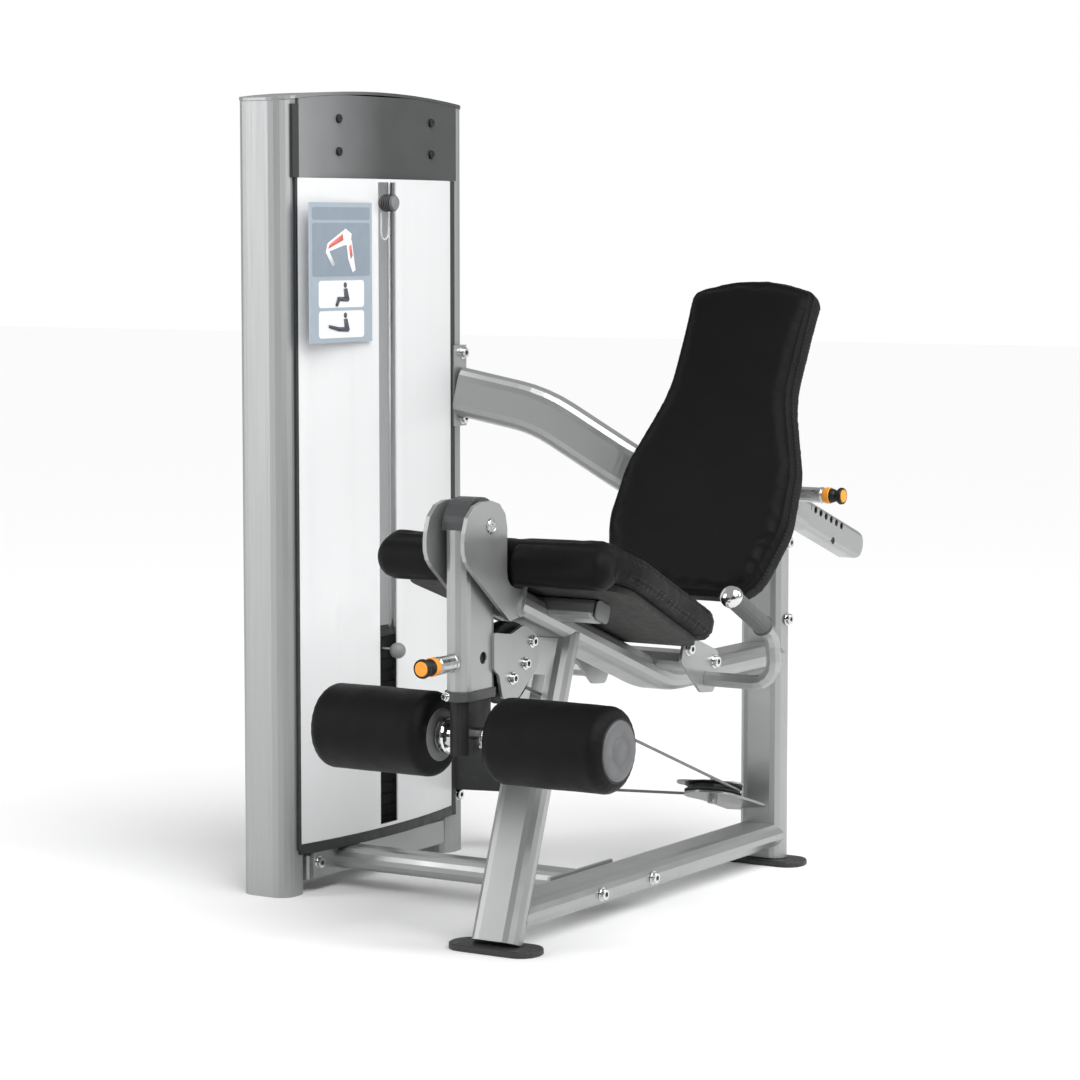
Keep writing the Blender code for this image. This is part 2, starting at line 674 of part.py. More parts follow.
rail_length = (RAIL_REAR_Y - RAIL_FRONT_Y) / RAIL_DIR.y
back_rail = as_mesh(plate("back_rail", [rounded_box(RAIL_WIDE, RAIL_HIGH, 0.0095)], rail_length,
                          on_rail((RAIL_REAR_Y + RAIL_FRONT_Y) / 2), SILVER, back, RAIL_TURN))
end_r = RAIL_HIGH / 2 + 0.0002
end_at = rail_length - RAIL_HIGH / 2
side_view = [(-0.010, -0.040), (end_at, -0.040)] + arc((end_at, 0.0), end_r, -90, 90, 10)
side_view += [(end_at, 0.040), (-0.010, 0.040)]
ALONG_RAIL = Matrix(((0, 0, 1, 0), (RAIL_DIR.y, RAIL_UP.y, 0, 0), (RAIL_DIR.z, RAIL_UP.z, 0, 0),
                     (0, 0, 0, 1)))
cut(back_rail, as_cutter(as_mesh(plate("rail_side", [side_view], 0.1, on_rail(RAIL_FRONT_Y), None, back,
                                       ALONG_RAIL))), "INTERSECT")
holes = []
for step in range(2 * ADJUST_STEPS - 1):
    hole_at = back_pin_at + RAIL_DIR * ADJUST_PITCH * step + Vector((RAIL_WIDE / 2, 0, 0))
    holes.append(cylinder("rail_hole", RAIL_HOLE_R, 0.018, hole_at, "X", None, back, 8))
screw_at = on_rail(1.272) - RAIL_UP * 0.022 + Vector((RAIL_WIDE / 2, 0, 0))
holes.append(cylinder("rail_screw_hole", 0.004, 0.012, screw_at, "X", None, back, 8))
cut(back_rail, row_of_cutters("rail_holes", holes))

BACK_DIR = Vector((0.0, math.sin(BACK_TILT), math.cos(BACK_TILT)))
BACK_OUT = Vector((0.0, math.cos(BACK_TILT), -math.sin(BACK_TILT)))
BACK_TURN = Matrix((( -1, 0, 0, 0), (0, BACK_DIR.y, BACK_OUT.y, 0), (0, BACK_DIR.z, BACK_OUT.z, 0),
                    (0, 0, 0, 1)))


def on_back(along, out):
    """A point behind the back pad, by its distance up the pad and behind its front face."""
    return BACK_FOOT + BACK_DIR * along + BACK_OUT * out


back_pad = as_mesh(plate("back_pad", [rounded(mirrored([
    (0.160, 0.0, 0.070), (0.203, 0.150, 0.140), (0.194, 0.270, 0.150), (0.140, 0.430, 0.250),
    (0.138, BACK_LENGTH - 0.016, 0.022), (0.050, BACK_LENGTH + 0.010, 0.300)]))], BACK_THICK,
                         on_back(0, BACK_THICK / 2), VINYL, back, BACK_TURN))
round_edges(back_pad, 0.014, 1)

BRACKET_THICK = 0.008
bracket_at = on_back(0.290, BACK_THICK + GAP + BRACKET_THICK / 2)
rail_face = as_cutter(box("rail_face_cut", (0.3, 0.6, 0.3),
                          on_back(0.290, BACK_THICK + GAP + BRACKET_THICK / 2 - 0.15), None, back,
                          BACK_TURN))
cut(back_rail, rail_face)
back_bracket = as_cutter(box("back_bracket", (0.110, 0.340, BRACKET_THICK), bracket_at, None, back,
                             BACK_TURN))
cut(back_rail, back_bracket, "UNION")


def pop_pin(prefix, at, axis, mount_gap, barrel, parent, pin_parent, engage):
    """A spring pin: its barrel on the fixed side, and the knob with the rod that enters the moving bar."""
    turn = AXIS_TURN[axis]
    out = turn.to_3x3() @ Vector((0, 0, 1))
    at = Vector(at)
    housing = turned(prefix + "_housing", [
        (POP_HOLE_R, barrel), (0.0145, barrel), (0.0155, barrel - 0.002), (0.0155, 0.0), (POP_HOLE_R, 0.0)],
        at + out * mount_gap, axis, SILVER, parent, 16)
    face = mount_gap + barrel + 0.0008
    pin = turned(prefix, [
        (0.0, face + 0.044), (0.0125, face + 0.044), (0.0165, face + 0.041), (0.0170, face + 0.036),
        (0.0110, face + 0.028), (0.0100, face + 0.020), (0.0135, face + 0.015), (0.0160, face + 0.014),
        (0.0160, face + 0.001), (0.0145, face), (POP_PIN_R, face), (POP_PIN_R, -engage), (0.0, -engage)],
        at, axis, BLACK_PLASTIC, pin_parent, 14)
    return housing, pin


BACK_PIN_GAP = SLEEVE_WIDE / 2 + GAP
back_pin_parent = empty("back_pin_axis", back_pin_at, machine)
pop_pin("back_pin", (0.0, back_pin_at.y, back_pin_at.z), "X", BACK_PIN_GAP, 0.074, machine, back_pin_parent,
        -(RAIL_WIDE / 2 - 0.007))

# ---------------------------------------------------------------- lever

tube_middle = (LEVER_TOP + LEVER_BOTTOM) / 2
TURN_OVAL_Y = Matrix.Rotation(math.pi / 2, 4, "Z")
inner_deep = LEVER_DEEP - 2 * LEVER_WALL
inner_thick = LEVER_THICK - 2 * LEVER_WALL
lever_tube = as_mesh(plate("lever_tube", [oval(LEVER_DEEP, LEVER_THICK), oval(inner_deep, inner_thick)],
                           LEVER_TOP - LEVER_BOTTOM, (0, PIVOT.y, tube_middle), SILVER, lever, TURN_OVAL_Y))
collar = as_mesh(plate("lever_collar", [oval(LEVER_DEEP + 0.005, LEVER_THICK + 0.005),
                                        oval(SHIN_BAR_DEEP + 0.001, SHIN_BAR_THICK + 0.001)], 0.0150,
                       (0, PIVOT.y, LEVER_BOTTOM - 0.0065), None, lever, TURN_OVAL_Y))
cut(lever_tube, as_cutter(collar), "UNION")
axle_room = as_cutter(cylinder("axle_room", AXLE_R + GAP, 0.1, PIVOT, "X", None, lever, 24))
cut(lever_tube, axle_room)
lever_pin_at = Vector((0.0, PIVOT.y, LEVER_PIN_Z))
lever_pin_hole = as_cutter(cylinder("lever_pin_hole", POP_HOLE_R, 0.03,
                                    lever_pin_at - Vector((0, LEVER_DEEP / 2, 0)), "-Y", None, lever, 12))
cut(lever_tube, lever_pin_hole)
window = as_cutter(cylinder("window_cut", 0.011, 0.02,
                            (LEVER_THICK / 2, PIVOT.y + 0.006, LEVER_PIN_Z + 0.004), "X",
                            None, lever, 14))
cut(lever_tube, window)

CAP_R = 0.0548
cap_z = LEVER_TOP + GAP
lever_cap = as_mesh(side_plate("lever_cap", [arc((PIVOT.y, cap_z), CAP_R, 0, 180, 14)], LEVER_THICK, 0.0,
                               BLACK_PLASTIC, lever))
cut(lever_cap, axle_room)

CAM_PLATE_X = LEVER_THICK / 2 + GAP + 0.003
cam = turned("cam", [(0.0, 0.0222), (0.060, 0.0222), (0.060, 0.014), (CAM_R, 0.012), (CAM_R, 0.0065),
                     (CAM_R - 0.006, 0.0035), (CAM_R - 0.006, -0.0035), (CAM_R, -0.0065), (CAM_R, -0.012),
                     (0.060, -0.014), (0.060, -0.0222), (0.0, -0.0222)],
             (0, *CAM_AT), "X", BLACK_STEEL, lever, 28)
lever_face = PIVOT.y + LEVER_DEEP / 2 + GAP
cut(cam, as_cutter(box("cam_cut", (0.1, 0.2, 0.3), (0, lever_face - 0.1, CAM_AT[1]), None, lever)))
cut(cam, as_cutter(box("collar_notch", (0.1, 0.2, 0.1), (0, lever_face - 0.0975, LEVER_BOTTOM - 0.0485),
                       None, lever)))
for side, word, out in ((-1, "left", "-X"), (1, "right", "X")):
    cam_plate = as_mesh(side_plate("cam_plate_" + word, [rounded([
        (-0.050, 0.578, 0.006), (0.006, 0.570, 0.030), (0.050, 0.583, 0.022), (0.100, 0.556, 0.030),
        (0.096, 0.505, 0.030), (0.030, 0.454, 0.014), (-0.022, 0.457, 0.012), (-0.034, 0.500, 0.012),
        (-0.050, 0.512, 0.006)])], 0.006, side * CAM_PLATE_X, SILVER, lever))
    for y, z in ((0.075, 0.550), (0.052, 0.513), (0.009, 0.491)):
        bolt_on(cam_plate, (side * (CAM_PLATE_X + 0.003), y, z), out, 0.008, 0.006)

lever_pin_parent = empty("lever_pin_axis", lever_pin_at, lever)
pop_pin("lever_pin", lever_pin_at, "-Y", LEVER_DEEP / 2 + GAP, 0.055, lever, lever_pin_parent,
        -(SHIN_BAR_DEEP / 2 - 0.010))

SHIN_BAR_TOP = 0.715
SHIN_BAR_BOTTOM = 0.368
shin_bar = as_mesh(plate("shin_bar", [oval(SHIN_BAR_DEEP, SHIN_BAR_THICK)], SHIN_BAR_TOP - SHIN_BAR_BOTTOM,
                         (0, PIVOT.y, (SHIN_BAR_TOP + SHIN_BAR_BOTTOM) / 2), BLACK_STEEL, shin,
                         TURN_OVAL_Y))
bar_holes = []
for step in range(ADJUST_STEPS + 1):
    hole_at = (0, PIVOT.y - SHIN_BAR_DEEP / 2, LEVER_PIN_Z + step * ADJUST_PITCH)
    bar_holes.append(cylinder("bar_hole", POP_HOLE_R, 0.026, hole_at, "-Y", None, shin, 8))
cut(shin_bar, row_of_cutters("bar_holes", bar_holes))
SHAFT_R = 0.0125
cut(shin_bar, as_cutter(cylinder("shaft_room", SHAFT_R + GAP, 0.2, ROLLER_AXIS, "X", None, shin, 20)))

SHAFT_HALF = ROLLER_OUT - 0.020
BAR_SIDE = SHIN_BAR_THICK / 2 + GAP
half_shaft = [(0.0, SHAFT_HALF), (SHAFT_R, SHAFT_HALF), (SHAFT_R, ROLLER_IN - 0.006),
              (0.030, ROLLER_IN - 0.006),
              (0.0325, ROLLER_IN - 0.009), (0.0325, ROLLER_IN - 0.020), (0.030, ROLLER_IN - 0.023),
              (0.019, ROLLER_IN - 0.024), (0.019, BAR_SIDE), (SHAFT_R, BAR_SIDE)]
turned("roller_shaft", half_shaft + [(r, -h) for r, h in reversed(half_shaft)], ROLLER_AXIS, "X", CHROME,
       shin, 20)

BORE = SHAFT_R + 0.0006
for side, axle, word, axis in ((-1, roller_left, "left", "-X"), (1, roller_right, "right", "X")):
    length = ROLLER_OUT - ROLLER_IN
    middle = (ROLLER_OUT + ROLLER_IN) / 2
    cap_face = length / 2 + 0.007
    profile = [(0.0, cap_face), (0.034, cap_face), (0.052, cap_face - 0.001), (0.0535, length / 2 - 0.001)]
    profile += [(ROLLER_R - 0.022 + x, length / 2 - 0.022 + y) for x, y in arc((0, 0), 0.022, 90, 0, 3)]
    profile += [(ROLLER_R - 0.022 + x, 0.022 - length / 2 + y) for x, y in arc((0, 0), 0.022, 0, -90, 3)]
    profile += [(BORE, -length / 2), (BORE, SHAFT_HALF + 0.001 - middle),
                (0.0, SHAFT_HALF + 0.001 - middle)]
    turned("roller_pad_" + word, profile, ROLLER_AXIS + Vector((side * middle, 0, 0)), axis, VINYL, axle,
           24)

# ---------------------------------------------------------------- tower

COLUMN_BLANK = TOWER_TOP + 0.010
columns = []
for word, y in (("front", COLUMN_FRONT_Y), ("rear", COLUMN_REAR_Y)):
    columns.append(as_mesh(plate("tower_column_" + word, [
        rounded_box(COLUMN_WIDE, COLUMN_DEEP, 0.030, 4),
                                                          rounded_box(COLUMN_WIDE - 0.008,
                                                                      COLUMN_DEEP - 0.008, 0.026, 3)],
        COLUMN_BLANK, (TOWER_X, y, COLUMN_BLANK / 2), ALUMINIUM, machine)))
rear_column = columns[1]
cut(rear_column, as_cutter(box("cable_way_low", (0.060, 0.046, 0.126), (column_face - 0.010, 0.791, 0.1925),
                               None,
                               machine)))
cut(rear_column, as_cutter(box("cable_way_high", (0.030, 0.030, 0.150),
                               (TOWER_X, COLUMN_REAR_Y - COLUMN_DEEP / 2, 1.440), None, machine)))
bolt_on(rear_column, (column_face, 0.783, 0.119), "X")

TOWER_MIDDLE_Y = (COLUMN_FRONT_Y + COLUMN_REAR_Y) / 2
HALF_TOWER = (COLUMN_REAR_Y - COLUMN_FRONT_Y + COLUMN_DEEP) / 2
arch_r = (HALF_TOWER ** 2 + ARCH_RISE ** 2) / (2 * ARCH_RISE)
arch_sweep = math.degrees(math.asin(HALF_TOWER / arch_r))
arch_centre = (TOWER_MIDDLE_Y, TOWER_TOP + ARCH_RISE - arch_r)


def arch_line(drop, sweep):
    """The tower's top line, from rear to front, at a distance under the cap's upper face."""
    return arc(arch_centre, arch_r - drop, 90 - sweep, 90 + sweep, 12)


tower_cap = as_mesh(side_plate("tower_cap", [
    arch_line(0.0, arch_sweep + 1.0) + list(reversed(arch_line(CAP_THICK, arch_sweep + 1.0)))], 0.1300,
                               TOWER_X,
    HEADER_GREY, machine))
cap_plan = as_cutter(as_mesh(plate("cap_plan", [rounded_box(0.1224, 2 * HALF_TOWER + 0.001, 0.040, 5)], 0.2,
                                   (TOWER_X, TOWER_MIDDLE_Y, TOWER_TOP), None, machine)))
cut(tower_cap, cap_plan, "INTERSECT")
above = arch_line(CAP_THICK + GAP, arch_sweep + 3.0)
above_arch = as_cutter(as_mesh(side_plate("above_arch", [
    above + [(above[-1][0], TOWER_TOP + 0.1), (above[0][0], TOWER_TOP + 0.1)]], 0.3, TOWER_X, None,
                                          machine)))
for column in columns:
    cut(column, above_arch)

HEADER_X = column_face + 0.0055
PANEL_FRONT_Y = COLUMN_FRONT_Y + 0.012
PANEL_REAR_Y = COLUMN_REAR_Y - 0.005
PANEL_THICK = 0.005
PANEL_X = column_face + 0.0006 + PANEL_THICK / 2
panels = []
for side, word, out in ((-1, "left", "-X"), (1, "right", "X")):
    x = TOWER_X + side * (PANEL_X - TOWER_X)
    size = (PANEL_THICK, PANEL_REAR_Y - PANEL_FRONT_Y, COLUMN_BLANK - HEADER_BOTTOM)
    at = (x, (PANEL_REAR_Y + PANEL_FRONT_Y) / 2, (COLUMN_BLANK + HEADER_BOTTOM) / 2)
    panel = box("header_panel_" + word, size, at, HEADER_GREY, machine)
    cut(panel, above_arch)
    for y in (0.361, 0.681):
        for z in (1.431, 1.494):
            screw = cylinder("screw", 0.0075, 0.006, (x + side * 0.0035, y, z), out, None, machine, 8)
            cut(panel, as_cutter(screw), "UNION")
    panels.append(panel)
KNOB_AT = Vector((0.0, STACK_AT.y - 0.012, 1.333))
tab = box("tab", (0.005, 0.026, 0.100), (HEADER_X - 0.0055, KNOB_AT.y, 1.361), None, machine)
KNOB_ROD_R = 0.005
cut(panels[1], as_cutter(tab), "UNION")
cut(panels[1], as_cutter(cylinder("knob_hole", KNOB_ROD_R + GAP, 0.05, (HEADER_X, KNOB_AT.y, KNOB_AT.z),
                                  "X", None, machine,
                            12)))
knob_parent = empty("addon_knob_axis", (HEADER_X, KNOB_AT.y, KNOB_AT.z), machine)
turned("addon_knob", [(0.0, 0.052), (0.013, 0.052), (0.0165, 0.049), (0.0165, 0.026), (0.014, 0.022),
                      (0.007, 0.020), (KNOB_ROD_R, 0.016), (KNOB_ROD_R, -0.022), (0.0, -0.022)],
       (HEADER_X, KNOB_AT.y, KNOB_AT.z), "X", GREY_PLASTIC, knob_parent, 18)

SHROUD_FRONT_Y = COLUMN_FRONT_Y + 0.0075
SHROUD_REAR_Y = COLUMN_REAR_Y - 0.025
SHROUD_MIDDLE_Y = (SHROUD_FRONT_Y + SHROUD_REAR_Y) / 2
SHROUD_HALF = (SHROUD_REAR_Y - SHROUD_FRONT_Y) / 2


def shroud_x(y):
    """How far out the bulged panel stands from the tower's middle plane."""
    off = (y - SHROUD_MIDDLE_Y) / SHROUD_HALF
    return 0.0595 + SHROUD_BULGE * (1 - off * off)


def bulged_strip(name, side, y_from, y_to, z_from, z_to, thick, mat, count):
    """A strip that follows the bulge of the panels, between two heights."""
    ys = [y_from + (y_to - y_from) * i / count for i in range(count + 1)]
    outer = [(TOWER_X + side * shroud_x(y), y) for y in ys]
    inner = [(TOWER_X + side * (shroud_x(y) - thick), y) for y in reversed(ys)]
    return plate(name, [outer + inner], z_to - z_from, (0, 0, (z_from + z_to) / 2), mat, machine)


SLOT_FROM = STACK_AT.y - SLOT_HALF
SLOT_TO = STACK_AT.y + SLOT_HALF
shroud_top = HEADER_BOTTOM - 0.0005
shroud_right = as_mesh(bulged_strip("shroud_right", 1, SHROUD_FRONT_Y, SHROUD_REAR_Y, SHROUD_BOTTOM,
                                    shroud_top,
                                    SHROUD_THICK, FROSTED, 10))
slot_high = shroud_top - SHROUD_BOTTOM - 0.012
cut(shroud_right, as_cutter(box("pin_slot_cut", (0.06, SLOT_TO - SLOT_FROM, slot_high),
                                (TOWER_X + shroud_x(STACK_AT.y), STACK_AT.y,
                                 (shroud_top + SHROUD_BOTTOM) / 2), None,
                                machine)))
bulged_strip("shroud_left", -1, SHROUD_FRONT_Y, SHROUD_REAR_Y, SHROUD_BOTTOM, shroud_top, SHROUD_THICK,
             FROSTED, 10)

# One moulded ring under the panels, with a strip up each corner; the rear strips lie on the rear column.
EDGE_STRIP = 0.015
ring_from = SHROUD_FRONT_Y - 0.002
ring_ys = [ring_from + (SHROUD_REAR_Y - ring_from) * i / 8 for i in range(9)] + [SHROUD_REAR_Y + EDGE_STRIP]
ring = [(TOWER_X + max(shroud_x(y), 0.0595) + 0.001, y) for y in ring_ys]
ring += [(TOWER_X - max(shroud_x(y), 0.0595) - 0.001, y) for y in reversed(ring_ys)]
hole_to = COLUMN_REAR_Y - COLUMN_DEEP / 2 - 0.014
hole_from = COLUMN_FRONT_Y + COLUMN_DEEP / 2 + 0.018
ring_hole = [(TOWER_X - 0.055, hole_from), (TOWER_X + 0.055, hole_from), (TOWER_X + 0.055, hole_to),
             (TOWER_X - 0.055, hole_to)]
RING_LOW = 0.0795
ring_top = SHROUD_BOTTOM - 0.0005
shroud_trim = as_mesh(plate("shroud_trim", [ring, ring_hole], ring_top - RING_LOW,
                            (0, 0, (ring_top + RING_LOW) / 2),
                            DARK_GREY, machine))
for y in (COLUMN_FRONT_Y, COLUMN_REAR_Y):
    cut(shroud_trim, as_cutter(box("column_room", (COLUMN_WIDE + 2 * GAP, COLUMN_DEEP + 2 * GAP, 0.1),
                                   (TOWER_X, y, 0.09), None, machine)))
strip_top = TOWER_TOP - 0.012
rear_strip_top = HEADER_BOTTOM - 0.0005
header_strip_low = HEADER_BOTTOM
for side in (-1, 1):
    strip = box("front_strip", (0.0049, 0.0070, strip_top - ring_top + 0.010),
                (TOWER_X + side * 0.05785, SHROUD_FRONT_Y - 0.0042, (strip_top + ring_top - 0.010) / 2),
                None, machine)
    cut(shroud_trim, as_cutter(strip), "UNION")
    strip = box("header_strip", (0.0056, 0.0200, strip_top - header_strip_low),
                (TOWER_X + side * 0.0582, PANEL_FRONT_Y - 0.0106, (strip_top + header_strip_low) / 2), None,
                machine)
    cut(shroud_trim, as_cutter(strip), "UNION")
    strip = box("rear_strip", (0.0049, EDGE_STRIP - 0.001, rear_strip_top - ring_top + 0.010),
                (TOWER_X + side * 0.05785, SHROUD_REAR_Y + EDGE_STRIP / 2,
                 (rear_strip_top + ring_top - 0.010) / 2),
                None, machine)
    cut(shroud_trim, as_cutter(strip), "UNION")
cut(shroud_trim, as_cutter(box("plate_room", (0.030, 0.0506, 0.1656), brace_plate.location, None, machine)))

BEAM_FRONT_Y = COLUMN_FRONT_Y + COLUMN_DEEP / 2 + GAP
BEAM_REAR_Y = COLUMN_REAR_Y - COLUMN_DEEP / 2 - GAP
beam_size = BEAM_REAR_Y - BEAM_FRONT_Y
BEAM_TOP = 0.075
base_beam = box("base_beam", (0.104, beam_size, 0.053), (TOWER_X, TOWER_MIDDLE_Y, BEAM_TOP - 0.0265),
                SILVER, machine,
                bevel=0.004)
top_beam = box("top_beam", (0.060, beam_size, 0.014), (TOWER_X, TOWER_MIDDLE_Y, 1.447), DARK_GREY, machine)
ROD_TOP = 1.4395
for side, word in ((-1, "front"), (1, "rear")):
    low, high = BEAM_TOP + GAP, ROD_TOP
    turned("guide_rod_" + word, [(0.0, high), (0.010, high), (0.010, PLATE_BOTTOM - 0.001),
                                 (0.024, PLATE_BOTTOM - 0.001),
                                 (0.024, low), (0.0, low)],
           (TOWER_X, STACK_AT.y + side * ROD_SPACING / 2, 0.0), "Z", CHROME, machine, 14)

# The weight plates: a stack of slabs on a slightly smaller core.
rod_holes = []
for y, radius in ((-ROD_SPACING / 2, 0.0115), (0.0, 0.0135), (ROD_SPACING / 2, 0.0115)):
    rod_holes.append(arc((0, y), radius, 0, 315, 7))


def slab(name, inset, z_from, z_to, mat, parent):
    half_wide, half_deep = PLATE_WIDE / 2 - inset, PLATE_DEEP / 2 - inset
    edge = [(-half_wide, -half_deep), (half_wide, -half_deep), (half_wide, half_deep),
            (-half_wide, half_deep)]
    return as_mesh(plate(name, [edge] + rod_holes, z_to - z_from,
                         STACK_AT + Vector((0, 0, (z_from + z_to) / 2)), mat,
                         parent))


stack_top = PLATE_BOTTOM + PLATE_COUNT * PLATE_PITCH - 0.001
weight_stack = slab("weight_stack", 0.0, PLATE_BOTTOM, stack_top, BLACK_STEEL, machine)
grooves = []
for level in range(1, PLATE_COUNT):
    z = PLATE_BOTTOM + level * PLATE_PITCH - 0.0005
    groove = box("groove", (PLATE_WIDE + 0.1, PLATE_DEEP + 0.1, 0.0014), STACK_AT + Vector((0, 0, z)), None,
                 machine)
    core = box("core", (PLATE_WIDE - 0.008, PLATE_DEEP - 0.008, 0.1), STACK_AT + Vector((0, 0, z)), None,
               machine)
    grooves.append(cut(groove, as_cutter(core)))
cut(weight_stack, row_of_cutters("plate_grooves", grooves))

head_plate = slab("head_plate", 0.0, HEAD_BOTTOM, HEAD_TOP, BLACK_STEEL, stack_head)
boss = as_cutter(box("boss", (0.044, 0.060, BOSS_TOP - HEAD_TOP + 0.010),
                     STACK_AT + Vector((0, 0, (BOSS_TOP + HEAD_TOP - 0.010) / 2)), None, stack_head))
cut(head_plate, boss, "UNION")
selector_rod = as_cutter(cylinder("selector_rod", 0.011, 0.400, STACK_AT + Vector((0, 0, 0.0955 + 0.200)),
                                  "Z", None,
                                  stack_head, 12))
cut(head_plate, selector_rod, "UNION")
pin_z = 0.452
pin_room = as_cutter(cylinder("pin_room", POP_HOLE_R, 0.080, (TOWER_X + 0.028, STACK_AT.y, pin_z), "X",
                              None,
                              stack_head, 12))
cut(head_plate, pin_room)
pin_parent = empty("selector_pin_axis", (TOWER_X, STACK_AT.y, pin_z), stack_head)
turned("selector_pin", [(0.0, 0.122), (0.014, 0.122), (0.017, 0.118), (0.017, 0.100), (0.010, 0.094),
                        (POP_PIN_R, 0.090), (POP_PIN_R, -0.009), (0.0, -0.009)],
       (TOWER_X, STACK_AT.y, pin_z), "X", BLACK_PLASTIC, pin_parent, 16)

CARD_HALF = 0.103
card_at = (TOWER_X + shroud_x(0.325) + 0.0145, 0.325, 1.199)
box("placard", (0.003, 2 * CARD_HALF, 0.268), card_at, CARD, machine)

# ---------------------------------------------------------------- cable and pulleys

cable_dir = Vector((0.0, math.cos(CABLE_SLOPE), -math.sin(CABLE_SLOPE)))
to_tower = Vector((-math.cos(CABLE_TO_TOWER), -math.sin(CABLE_TO_TOWER), 0.0))
rear_axis = cable_dir.cross(to_tower).normalized()
rear_tangent = CABLE_IN_LEG + cable_dir * ((REAR_TANGENT_Y - CABLE_IN_LEG.y) / cable_dir.y)
rear_centre = rear_tangent + rear_axis.cross(cable_dir) * REAR_PULLEY_R
leaves_rear = rear_centre - rear_axis.cross(to_tower) * REAR_PULLEY_R
base_run = (leaves_rear.x - RISE_X) / math.cos(CABLE_TO_TOWER) - BASE_PULLEY_R
base_tangent = leaves_rear + to_tower * base_run
base_centre = base_tangent + Vector((0, 0, BASE_PULLEY_R))
rise = base_centre + to_tower * BASE_PULLEY_R
base_axis = to_tower.cross(Vector((0, 0, 1)))
top_rear_centre = Vector((TOWER_X, rise.y - TOP_PULLEY_R, TOP_PULLEY_Z))
top_stack_centre = Vector((TOWER_X, STACK_AT.y + TOP_PULLEY_R, TOP_PULLEY_Z))


def around(centre, axis, start, sweep, count):
    """Points around a pulley, from a start point, turning about its axis."""
    points = []
    for k in range(count + 1):
        spoke = start - centre
        spoke.rotate(Matrix.Rotation(sweep * k / count, 3, axis))
        points.append(centre + spoke)
    return points


def straight(start, end, count):
    """Points along a straight run, without its end."""
    return [start + (end - start) * (k / count) for k in range(count)]


quarter = math.pi / 2
X_AXIS = Vector((1, 0, 0))
over_rear = top_rear_centre + Vector((0, TOP_PULLEY_R, 0))
over_stack = top_stack_centre + Vector((0, 0, TOP_PULLEY_R))
cable_points = straight(CABLE_IN_LEG, rear_tangent, 3)
cable_points += around(rear_centre, rear_axis, rear_tangent, cable_dir.angle(to_tower), 8)
cable_points += straight(leaves_rear, base_tangent, 2)[1:]
cable_points += around(base_centre, base_axis, base_tangent, quarter, 7)
cable_points += straight(rise, over_rear, 3)[1:]
cable_points += around(top_rear_centre, X_AXIS, over_rear, quarter, 7)
cable_points += around(top_stack_centre, X_AXIS, over_stack, quarter, 7)
route("leg_cable", cable_points, CABLE_R, CABLE_COAT, machine)
cable_top = STACK_AT + Vector((0, 0, TOP_PULLEY_Z - GAP))
route("lift_cable", straight(cable_top, STACK_AT + Vector((0, 0, BOSS_TOP + GAP)), 1)
      + [STACK_AT + Vector((0, 0, BOSS_TOP + GAP))], CABLE_R, CABLE_COAT, machine)
cam_end = CABLE_IN_LEG - cable_dir * 0.0715
leg_end = CABLE_IN_LEG - cable_dir * GAP
route("lever_cable", [cam_end, leg_end], CABLE_R, CABLE_COAT, machine)


def pulley(name, centre, axis, radius, parent):
    """A grooved wheel whose cable runs at the given radius."""
    groove = radius - CABLE_R - GAP
    rim = radius + 0.006
    turn = Vector((0, 0, 1)).rotation_difference(axis).to_matrix().to_4x4()
    return turned(name, [(0.0062, 0.0085), (rim - 0.010, 0.0085), (rim, 0.0075), (rim, 0.0055),
                         (groove, 0.0024), (groove, -0.0024), (rim, -0.0055), (rim, -0.0075),
                         (rim - 0.010, -0.0085), (0.0062, -0.0085)], centre, None, BLACK_PLASTIC, parent,
                  18, turn)


for name, centre, axis, radius in (
        ("rear_pulley", rear_centre, rear_axis, REAR_PULLEY_R),
                                   ("base_pulley", base_centre, base_axis, BASE_PULLEY_R),
        ("top_rear_pulley", top_rear_centre, X_AXIS, TOP_PULLEY_R),
        ("top_stack_pulley", top_stack_centre, X_AXIS, TOP_PULLEY_R)):
    spin = empty(name + "_axis", centre, machine)
    pulley(name, centre, axis, radius, spin)

# Brackets: the rear pulley's leaf plate reaches the rear leg, and its top plate covers the wheel.
plate_x = (to_tower - rear_axis * to_tower.dot(rear_axis)).normalized() * -1
plate_y = rear_axis.cross(plate_x)
PLATE_TURN = Matrix.Identity(4)
for row in range(3):
    PLATE_TURN[row][0] = plate_x[row]
    PLATE_TURN[row][1] = plate_y[row]
    PLATE_TURN[row][2] = rear_axis[row]
bracket = as_mesh(plate("rear_pulley_bracket", [rounded([
    (-0.075, -0.004, 0.030), (-0.020, -0.044, 0.040), (0.040, -0.030, 0.030), (0.092, 0.070, 0.010),
    (0.092, 0.120, 0.0), (0.004, 0.120, 0.0), (-0.030, 0.040, 0.060)], 4)], 0.005,
    rear_centre - rear_axis * 0.0125, SILVER, machine, PLATE_TURN))
cover = as_mesh(plate("cover", [rounded([
    (-0.076, -0.020, 0.018), (0.062, -0.020, 0.018), (0.062, 0.020, 0.018), (-0.076, 0.020, 0.018)], 4)],
                      0.004,
    rear_centre + rear_axis * 0.0120, None, machine, PLATE_TURN))
to_rear = Vector((0, 0, 1)).rotation_difference(rear_axis).to_matrix().to_4x4()
axle = turned("rear_axle", [(0.0, 0.021), (0.009, 0.021), (0.009, 0.0120), (0.0057, 0.0115),
                            (0.0057, -0.013),
                            (0.0095, -0.0135), (0.0095, -0.028), (0.0, -0.028)], rear_centre, None, None,
              machine, 12,
              to_rear)
cut(bracket, as_cutter(cover), "UNION")
cut(bracket, as_cutter(axle), "UNION")
cut(bracket, rear_leg_room)
